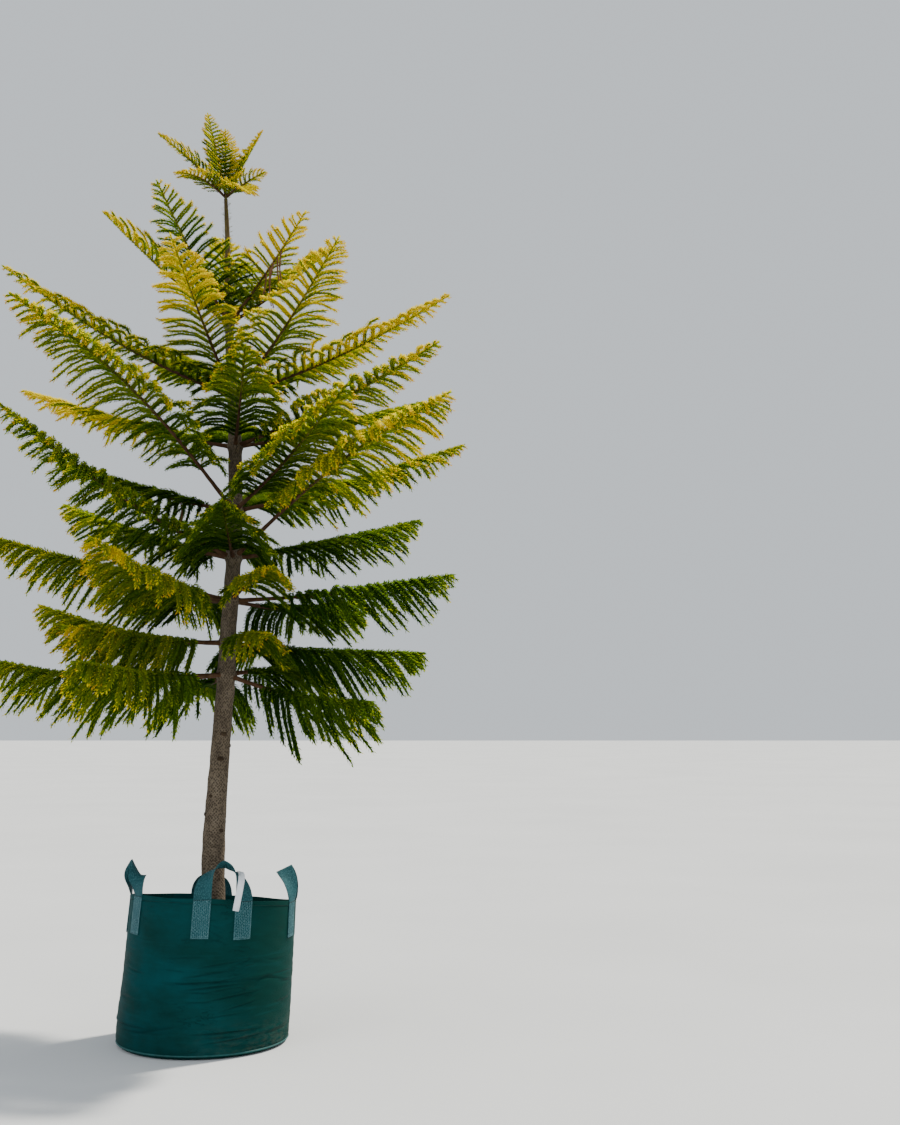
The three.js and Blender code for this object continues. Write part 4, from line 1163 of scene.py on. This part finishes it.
def strap_mesh(handle):
    """A strap with rounded edges, closed at both ends."""
    foot, top = STRAP_SEWN_SHARE, 1 - STRAP_SEWN_SHARE
    u = np.concatenate([
        np.linspace(0, foot, 14)[:-1], np.linspace(foot, top, 96)[:-1], np.linspace(top, 1, 14),
    ])
    half, thick = STRAP_WIDTH / 2, STRAP_THICKNESS / 2
    face = np.linspace(-half + 0.0012, half - 0.0012, 9)
    edge = half - 0.0003
    aside = np.concatenate([face, [edge, edge], face[::-1], [-edge, -edge]])
    round_off = [thick * 0.5, -thick * 0.5]
    lift = np.concatenate([np.full(9, thick), round_off, np.full(9, -thick), round_off[::-1]])
    points = np.stack([strap_point(handle, u, a, b) for a, b in zip(aside, lift)], 1)
    wave = 0.0012 * np.sin(u * 37)[:, None] * np.sin(aside / half * 2.2)[None]
    points[..., 2] += wave * smoothstep(np.minimum(u, 1 - u), STRAP_SEWN_SHARE, 0.3)[:, None]
    run = run_along(points.mean(1))
    uv = np.stack(np.broadcast_arrays(aside, run[:, None]), -1).reshape(-1, 2)
    return swept(points), uv


def dashes(starts, ends, outward, radius):
    """Threads of a seam as short low tubes, their ends sunk into the cloth."""
    middle = (starts + ends) / 2 + along_each(outward, radius * 0.6)
    sink = along_each(outward, radius * 0.8)
    points = np.stack([starts - sink, middle, ends - sink], 1)
    radii = np.broadcast_to(np.array([0.8, 1.0, 0.8]) * radius, points.shape[:2])[..., None]
    return tubes(points, radii, 3, outward[:, None])


# Stitches on a strap's leg, in metres from its foot: zigzag rows, edge seams and a double row below
ZIGZAG_ROWS = 9
ZIGZAG_AT = np.arange(4, 129, 5.6) / 1000
ZIGZAG_LENGTH = 0.0052
ZIGZAG_SWING = 0.0021
ZIGZAG_WANDER = 0.0007
EDGE_SEAM_AT = np.arange(2, 130, 4.6) / 1000
EDGE_STITCH = 0.0040
FOOT_SEAMS = (0.003, 0.0085)
FOOT_STITCH = 0.0042
THREAD_RADIUS = 0.00060
FOOT_THREAD_RADIUS = 0.00085
HEM_SEAM_BELOW_RIM = 0.004
HEM_THREAD_RADIUS = 0.0011


def leg_share(leg, length):
    """The share of a strap's run at a length up from the foot of its first or second leg."""
    share = STRAP_SEWN_SHARE * length / STRAP_SEWN_LENGTH
    return 1 - share if leg else share


def sewn_threads(handle, u_from, u_to, aside_from, aside_to, raised, radius):
    """Threads on a strap's face from one set of places to another."""
    lift = STRAP_THICKNESS / 2 + raised
    start, end = strap_point(handle, u_from, aside_from, lift), strap_point(handle, u_to, aside_to, lift)
    return dashes(start, end, strap_frame(handle, (u_from + u_to) / 2)[2], radius)


def strap_stitches(handle):
    """Zigzag rows sewn down each leg, a seam along its edges and a double row across its foot."""
    half = STRAP_WIDTH / 2
    for leg in (0, 1):
        def sewn(low, high, aside_from, aside_to, radius=THREAD_RADIUS):
            ends = leg_share(leg, low), leg_share(leg, high)
            return sewn_threads(handle, *ends, aside_from, aside_to, 0.0001, radius)

        rng = np.random.default_rng(81 + leg)
        for index, row in enumerate(np.linspace(-half + 0.0055, half - 0.0055, ZIGZAG_ROWS)):
            swing = ZIGZAG_SWING * np.where((np.arange(len(ZIGZAG_AT)) + index) % 2, 1, -1)
            middle = row + rng.uniform(-ZIGZAG_WANDER, ZIGZAG_WANDER, len(ZIGZAG_AT))
            yield sewn(ZIGZAG_AT, ZIGZAG_AT + ZIGZAG_LENGTH, middle + swing, middle - swing)
        across = np.arange(-half + 0.003, half - 0.006, 0.0048)
        for level in FOOT_SEAMS:
            spot = np.full_like(across, level)
            yield sewn(spot, spot, across, across + FOOT_STITCH, FOOT_THREAD_RADIUS)
        for edge in (-half + 0.0025, half - 0.0025):
            beside = np.full_like(EDGE_SEAM_AT, edge)
            yield sewn(EDGE_SEAM_AT, EDGE_SEAM_AT + EDGE_STITCH, beside, beside)


def hem_bars(handle):
    """The dark seam that crosses each leg of a handle at the rim."""
    across = np.arange(-STRAP_WIDTH / 2, STRAP_WIDTH / 2 - 0.002, 0.0030)
    for leg in (0, 1):
        spot = leg_share(leg, np.full_like(across, STRAP_SEWN_LENGTH - HEM_SEAM_BELOW_RIM))
        yield sewn_threads(handle, spot, spot, across, across + 0.0034, 0.0002, HEM_THREAD_RADIUS)


def ring_stitches(height, gap, length, radius):
    """A seam that runs round the wall at one height."""
    reach = bag_radius(height)
    count = int(TURN * reach / gap)
    angle = TURN * np.arange(count) / count

    def on_cloth(theta):
        wall = reach + cloth_relief(theta, np.full_like(theta, height)) + SEAT_GAP
        return settle(round_points(wall, theta, height))

    return dashes(on_cloth(angle), on_cloth(angle + length / reach), round_points(1.0, angle, 0.0), radius)


def add_bag():
    shell, uv, creased = bag_shell()
    bag = add_piece("bag_cloth", shell, cloth_material(), "woven_cloth", ["grow_bag"], uv)
    # How deep each place lies in the creases, which the cloth paints as shade
    mark = bag.data.attributes.new("creased", "FLOAT", "POINT")
    mark.data.foreach_set("value", creased.astype(np.float32))
    edge = thread_material("bag_piping", (0.006, 0.090, 0.088), (0.003, 0.055, 0.054))
    add_piece("bag_piping", bag_piping(), edge, "woven_cloth")
    seam = thread_material("seam_thread", (0.0010, 0.018, 0.016), (0.0005, 0.009, 0.008))
    hem = ring_stitches(BAG_HEIGHT - 0.0170, gap=0.0062, length=0.0050, radius=0.00070)
    add_piece("hem_stitches", hem, seam, "woven_cloth")
    add_piece("rim_seams", joined(part for side in HANDLES for part in hem_bars(side)), seam, "webbing")
    webbing = webbing_material()
    thread = thread_material("webbing_thread", (0.210, 0.400, 0.430), (0.080, 0.200, 0.225))
    for side in HANDLES:
        strap, strap_uv = strap_mesh(side)
        add_piece(f"strap_{side}", strap, webbing, "webbing", [f"handle_{side}"], strap_uv)
        add_piece(f"strap_{side}_stitches", joined(strap_stitches(side)), thread, "webbing")


# Potting mix

def mix_slope(reach, edge):
    """How far down the mound's side a reach from the middle lies, from 0 to 1 at the edge."""
    return np.clip((reach - MOUND_RADIUS) / (edge - MOUND_RADIUS), 0, 1)


def mix_surface():
    """The mix's top: a low mound with a crumbly relief, on a skirt that follows the bag's wall."""
    columns, rings = 120, 46
    angle = TURN * np.arange(columns) / columns
    edge = bag_radius(MIX_EDGE_HEIGHT) - MIX_GAP
    reach = np.concatenate([np.linspace(0.006, edge, rings), [edge - 0.001]])[:, None]
    level = lerp(MOUND_HEIGHT - 0.002, MIX_EDGE_HEIGHT, mix_slope(reach, edge))
    crumbs = round_waves(angle[None], reach, 21, 24, (3, 40), (0.012, 0.09))
    level = level - 0.001 + CRUMB_RELIEF * crumbs * smoothstep(reach, 0.0, 0.06)
    level[-1] = MIX_EDGE_HEIGHT - MIX_SKIRT
    points = round_points(reach, angle, level)
    points[..., 0] += BAG_RIM_SHIFT * level / BAG_HEIGHT
    top = [BAG_RIM_SHIFT * MOUND_HEIGHT / BAG_HEIGHT, 0, MOUND_HEIGHT - 0.004]
    vertices = np.vstack([points.reshape(-1, 3), top])
    cap = fan(len(vertices) - 1, np.arange(columns), -1)
    return vertices, np.vstack([skin_between(rings + 1, columns, inward=True), cap])


# Chips on the mix: name, count, seed, shortest and longest, pale and dark colour
CHIPS = (
    ("chips_dark", 1100, 51, (0.007, 0.020), ((0.05, 0.03, 0.018), (0.020, 0.012, 0.008))),
    ("chips_brown", 620, 52, (0.010, 0.030), ((0.14, 0.080, 0.045), (0.06, 0.034, 0.020))),
    ("chips_pale", 160, 53, (0.008, 0.022), ((0.30, 0.20, 0.12), (0.16, 0.10, 0.06))),
)

# A chip's corners in halves of its length, width and thickness, and its faces
CHIP_CORNERS = (
    (-1, -0.7, -1), (1, -0.45, -1), (0.8, 0.8, -1), (-0.9, 0.6, -1),
    (-0.9, -0.5, 1), (0.85, -0.35, 1), (0.6, 0.6, 1), (-0.7, 0.5, 1),
)
CHIP_FACES = np.array([(0, 3, 2, 1), (4, 5, 6, 7), (0, 1, 5, 4), (1, 2, 6, 5), (2, 3, 7, 6), (3, 0, 4, 7)])


def bark_chips(count, seed, sizes):
    """Flat slivers of composted bark scattered over the mix."""
    rng = np.random.default_rng(seed)
    edge = bag_radius(MIX_EDGE_HEIGHT) - CHIP_GAP
    reach = edge * np.sqrt(rng.uniform(0.035, 1, count))
    angle = rng.uniform(0, TURN, count)
    level = lerp(MOUND_HEIGHT, MIX_EDGE_HEIGHT, mix_slope(reach, edge)) - rng.uniform(0.0005, 0.003, count)
    centre = round_points(reach, angle, level)
    centre[..., 0] += BAG_RIM_SHIFT * level / BAG_HEIGHT
    length = rng.uniform(*sizes, count)
    spin, pitch = rng.uniform(0, TURN, count), rng.normal(0, 0.22, count)
    along = round_points(np.cos(pitch), spin, np.sin(pitch))
    side = unit(np.cross(UP, along))
    top = np.cross(along, side)
    width = length * rng.uniform(0.25, 0.6, count)
    thick = length * rng.uniform(0.10, 0.22, count)
    corners = []
    for a, b, c in CHIP_CORNERS:
        end = along_each(along, a * length / 2 * rng.uniform(0.75, 1.15, count))
        corners.append(centre + end + along_each(side, b * width / 2) + along_each(top, c * thick / 2))
    quads = (8 * np.arange(count)[:, None, None] + CHIP_FACES).reshape(-1, 4)
    return np.stack(corners, 1).reshape(-1, 3), halved(quads)


def add_mix():
    material, tree = new_material("mix_crumbs", Roughness=0.95, Specular_IOR_Level=0.2)
    crumbs = noise(tree, place(tree), 130.0, 6.0, 0.7)
    colour = ramp(tree, crumbs, [
        (0.35, (0.012, 0.008, 0.005)), (0.55, (0.045, 0.028, 0.017)), (0.72, (0.10, 0.065, 0.038)),
    ])
    paint(tree, Base_Color=colour, Normal=bump(tree, crumbs, 0.9, 0.004))
    add_piece("mix_surface", mix_surface(), material, "potting_mix", ["potting_mix"])
    for name, count, seed, sizes, colours in CHIPS:
        chips = bark_chips(count, seed, sizes)
        add_piece(name, chips, thread_material(name, *colours), "potting_mix", smooth=False)


# Plant tag

def catmull(points, steps):
    """A smooth line through points, with the same number of steps between each pair."""
    padded = np.vstack([2 * points[0] - points[1], points, 2 * points[-1] - points[-2]])
    share = np.linspace(0, 1, steps, endpoint=False)[:, None]
    runs = [
        0.5 * (2 * b + (c - a) * share + (2 * a - 5 * b + 4 * c - d) * share ** 2
               + (3 * b - a - 3 * c + d) * share ** 3)
        for a, b, c, d in zip(padded, padded[1:], padded[2:], padded[3:])
    ]
    return np.vstack([*runs, points[-1:]])


def add_tag():
    """A bare white strip that hooks over the front handle and hangs with a slight curl."""
    centre = strap_frame("front", TAG_PLACE)[0][0]
    radial = level_direction(HANDLES["front"][0])
    along = np.cross(UP, radial)
    lift = UP * math.cos(TAG_LEAN) + along * math.sin(TAG_LEAN)
    across = np.cross(lift, radial)
    points = np.array([centre + radial * out + lift * up for out, up in TAG_COURSE])
    line = catmull(points, 12)
    tangent = unit(np.gradient(line, axis=0))
    wide = square_to(across, tangent)
    outward = np.cross(tangent, wide)
    run = run_along(line)
    into_corner = np.maximum(TAG_CORNER - (run[-1] - run), 0)
    narrowing = TAG_CORNER - np.sqrt(np.maximum(TAG_CORNER ** 2 - into_corner ** 2, 0))
    columns = np.linspace(-1, 1, 7)
    rows = []
    for face in (1, -1):
        for column in columns[::face]:
            offset = TAG_CURL * (1 - column ** 2) + face * TAG_THICKNESS / 2
            rows.append(line + along_each(wide, (TAG_WIDTH / 2 - narrowing) * column) + outward * offset)
    material, tree = new_material("tag_plastic", Roughness=0.42, Specular_IOR_Level=0.4)
    tone = mottled(tree, [(0.35, (0.62, 0.66, 0.70)), (0.65, (0.78, 0.82, 0.86))], 30.0, 4.0)
    paint(tree, Base_Color=tone, Normal=bump(tree, noise(tree, place(tree), 60.0), 0.15, 0.001))
    add_piece("tag_strip", swept(np.stack(rows, 1)), material, "plant_tag", ["plant_tag"])


# Dead twigs that hang from a bough: place along its line, length, turn from straight down in degrees
DEAD_TWIGS = {
    "foliage_whorl_2_front_right": (
        (0.50, 0.115, -14), (0.56, 0.150, 6), (0.60, 0.165, -4), (0.65, 0.135, 12), (0.70, 0.120, 2),
    ),
    "foliage_whorl_3_front_right": ((0.24, 0.110, 20), (0.30, 0.130, -8)),
    "foliage_whorl_5_left": ((0.30, 0.120, 10),),
}
TWIG_RADIUS = (0.0035, 0.0020)
TWIG_NEEDLE_SPACING = 0.0045
TWIG_NEEDLE_LENGTH = (0.006, 0.012)
TWIG_NEEDLE_RADII = np.array([[[0.0012], [0.0004]]])
LEADER_NEEDLES = 620
LEADER_NEEDLE_WIDTH = 0.0018


def dead_twigs():
    """Brown dried branchlets that still hang, with a few short needles lying along them."""
    rng = np.random.default_rng(71)
    share = np.linspace(0, 1, 7)
    twigs = [(bough, *twig) for bough in boughs for twig in DEAD_TWIGS.get(bough.node_name, ())]
    for bough, at, length, degrees in twigs:
        turn = math.radians(degrees)
        down = -UP * math.cos(turn) + np.cross(UP, bough.heading) * math.sin(turn)
        bow = 0.10 * length * np.sin(math.pi * share) * rng.choice((-1, 1))
        line = bough.point(at) + np.outer(share * length, down) + np.outer(bow, bough.heading)
        yield tubes(line[None], lerp(*TWIG_RADIUS, share)[None, :, None], 5, bough.heading)
        for _ in range(int(length / TWIG_NEEDLE_SPACING)):
            spot = rng.uniform(0.05, 1.0)
            foot = line[0] + (line[-1] - line[0]) * spot + bough.heading * np.interp(spot, share, bow)
            out = unit(down + 0.55 * rng.normal(size=3))
            needle = np.stack([foot, foot + out * rng.uniform(*TWIG_NEEDLE_LENGTH)])[None]
            yield tubes(needle, TWIG_NEEDLE_RADII, 3, bough.heading)


def add_leader_needles():
    """Sparse stiff needles on the leader between the top tuft and the whorl below it."""
    rng = np.random.default_rng(61)
    count = LEADER_NEEDLES
    height = np.sort(rng.uniform(LEADER_FOOT - 0.25, TOP_HEIGHT, count))
    point = np.stack([smooth_course(height, 1), np.zeros(count), height], -1)
    tangent = np.broadcast_to(UP, point.shape)
    radial = around(tangent, np.broadcast_to(FRONT, point.shape), rng.uniform(0, TURN, count))
    stand = smooth_course(height, 2) / 2 - 0.0003
    size, lean = rng.uniform(0.010, 0.017, count), rng.uniform(0.9, 1.45, count)
    corners = needle_corners(point, tangent, radial, size, LEADER_NEEDLE_WIDTH, lean, stand)
    material = thread_material("leader_needles", (0.26, 0.25, 0.04), (0.12, 0.13, 0.02))
    add_piece("leader_needles", needle_shape(corners), material, "foliage")


# Stage, light and camera

FLOOR_HALF = 60.0


def add_stage():
    mesh = bpy.data.meshes.new("floor")
    corners = [(x * FLOOR_HALF, y * FLOOR_HALF, 0) for x, y in ((-1, -1), (1, -1), (1, 1), (-1, 1))]
    mesh.from_pydata(corners, [], [(0, 1, 2, 3)])
    material, tree = new_material("floor_paint", Roughness=0.9, Specular_IOR_Level=0.1)
    paint(tree, Base_Color=mottled(tree, [(0.3, (0.60, 0.61, 0.62)), (0.7, (0.64, 0.65, 0.66))], 0.6))
    mesh.materials.append(material)
    floor = add_object("floor", mesh)
    world = bpy.data.worlds.new("studio")
    bpy.context.scene.world = world
    world.use_nodes = True
    background = world.node_tree.nodes["Background"]
    background.inputs["Color"].default_value = (0.88, 0.94, 1.0, 1)
    background.inputs["Strength"].default_value = 0.8


def add_light(name, kind, energy, colour, towards, place_at=(0, 0, 0), **settings):
    """A light that shines along a direction."""
    light = having(bpy.data.lights.new(name, kind), energy=energy, color=colour, **settings)
    turn = Vector(towards).to_track_quat("-Z", "Y").to_euler()
    add_object(name, light, location=place_at, rotation_euler=turn)


def add_lights():
    add_light("key", "SUN", 6.0, (1.0, 0.95, 0.84), (-0.50, -0.34, -0.78), angle=math.radians(4))
    lamp, target = Vector((-3.6, -5.0, 3.4)), Vector((0.0, 0.0, 1.4))
    add_light("fill", "AREA", 120, (0.95, 0.98, 1.0), target - lamp, lamp, shape="DISK", size=4.0)


# The photograph's camera stands level, and its picture is shifted to hold the tree's top
PHOTO_HEIGHT = 1125
FOCAL_PIXELS = 1400
HORIZON_ROW = 714
SENSOR_WIDTH = 36
CAMERA_PLACE = (0.94, -5.32, 1.24)


def add_camera():
    data = having(
        bpy.data.cameras.new("camera"), sensor_fit="AUTO", sensor_width=SENSOR_WIDTH,
        lens=FOCAL_PIXELS / PHOTO_HEIGHT * SENSOR_WIDTH,
        shift_y=(HORIZON_ROW - PHOTO_HEIGHT / 2) / PHOTO_HEIGHT,
    )
    camera = add_object("camera", data, location=CAMERA_PLACE, rotation_euler=(math.pi / 2, 0, 0))
    bpy.context.scene.camera = camera


add_camera()
add_stage()
add_lights()
add_trunk()
add_foliage()
add_leader_needles()
add_piece("dead_twigs", joined(dead_twigs()), bark_material("dead_twig"), "foliage")
add_bag()
add_mix()
add_tag()
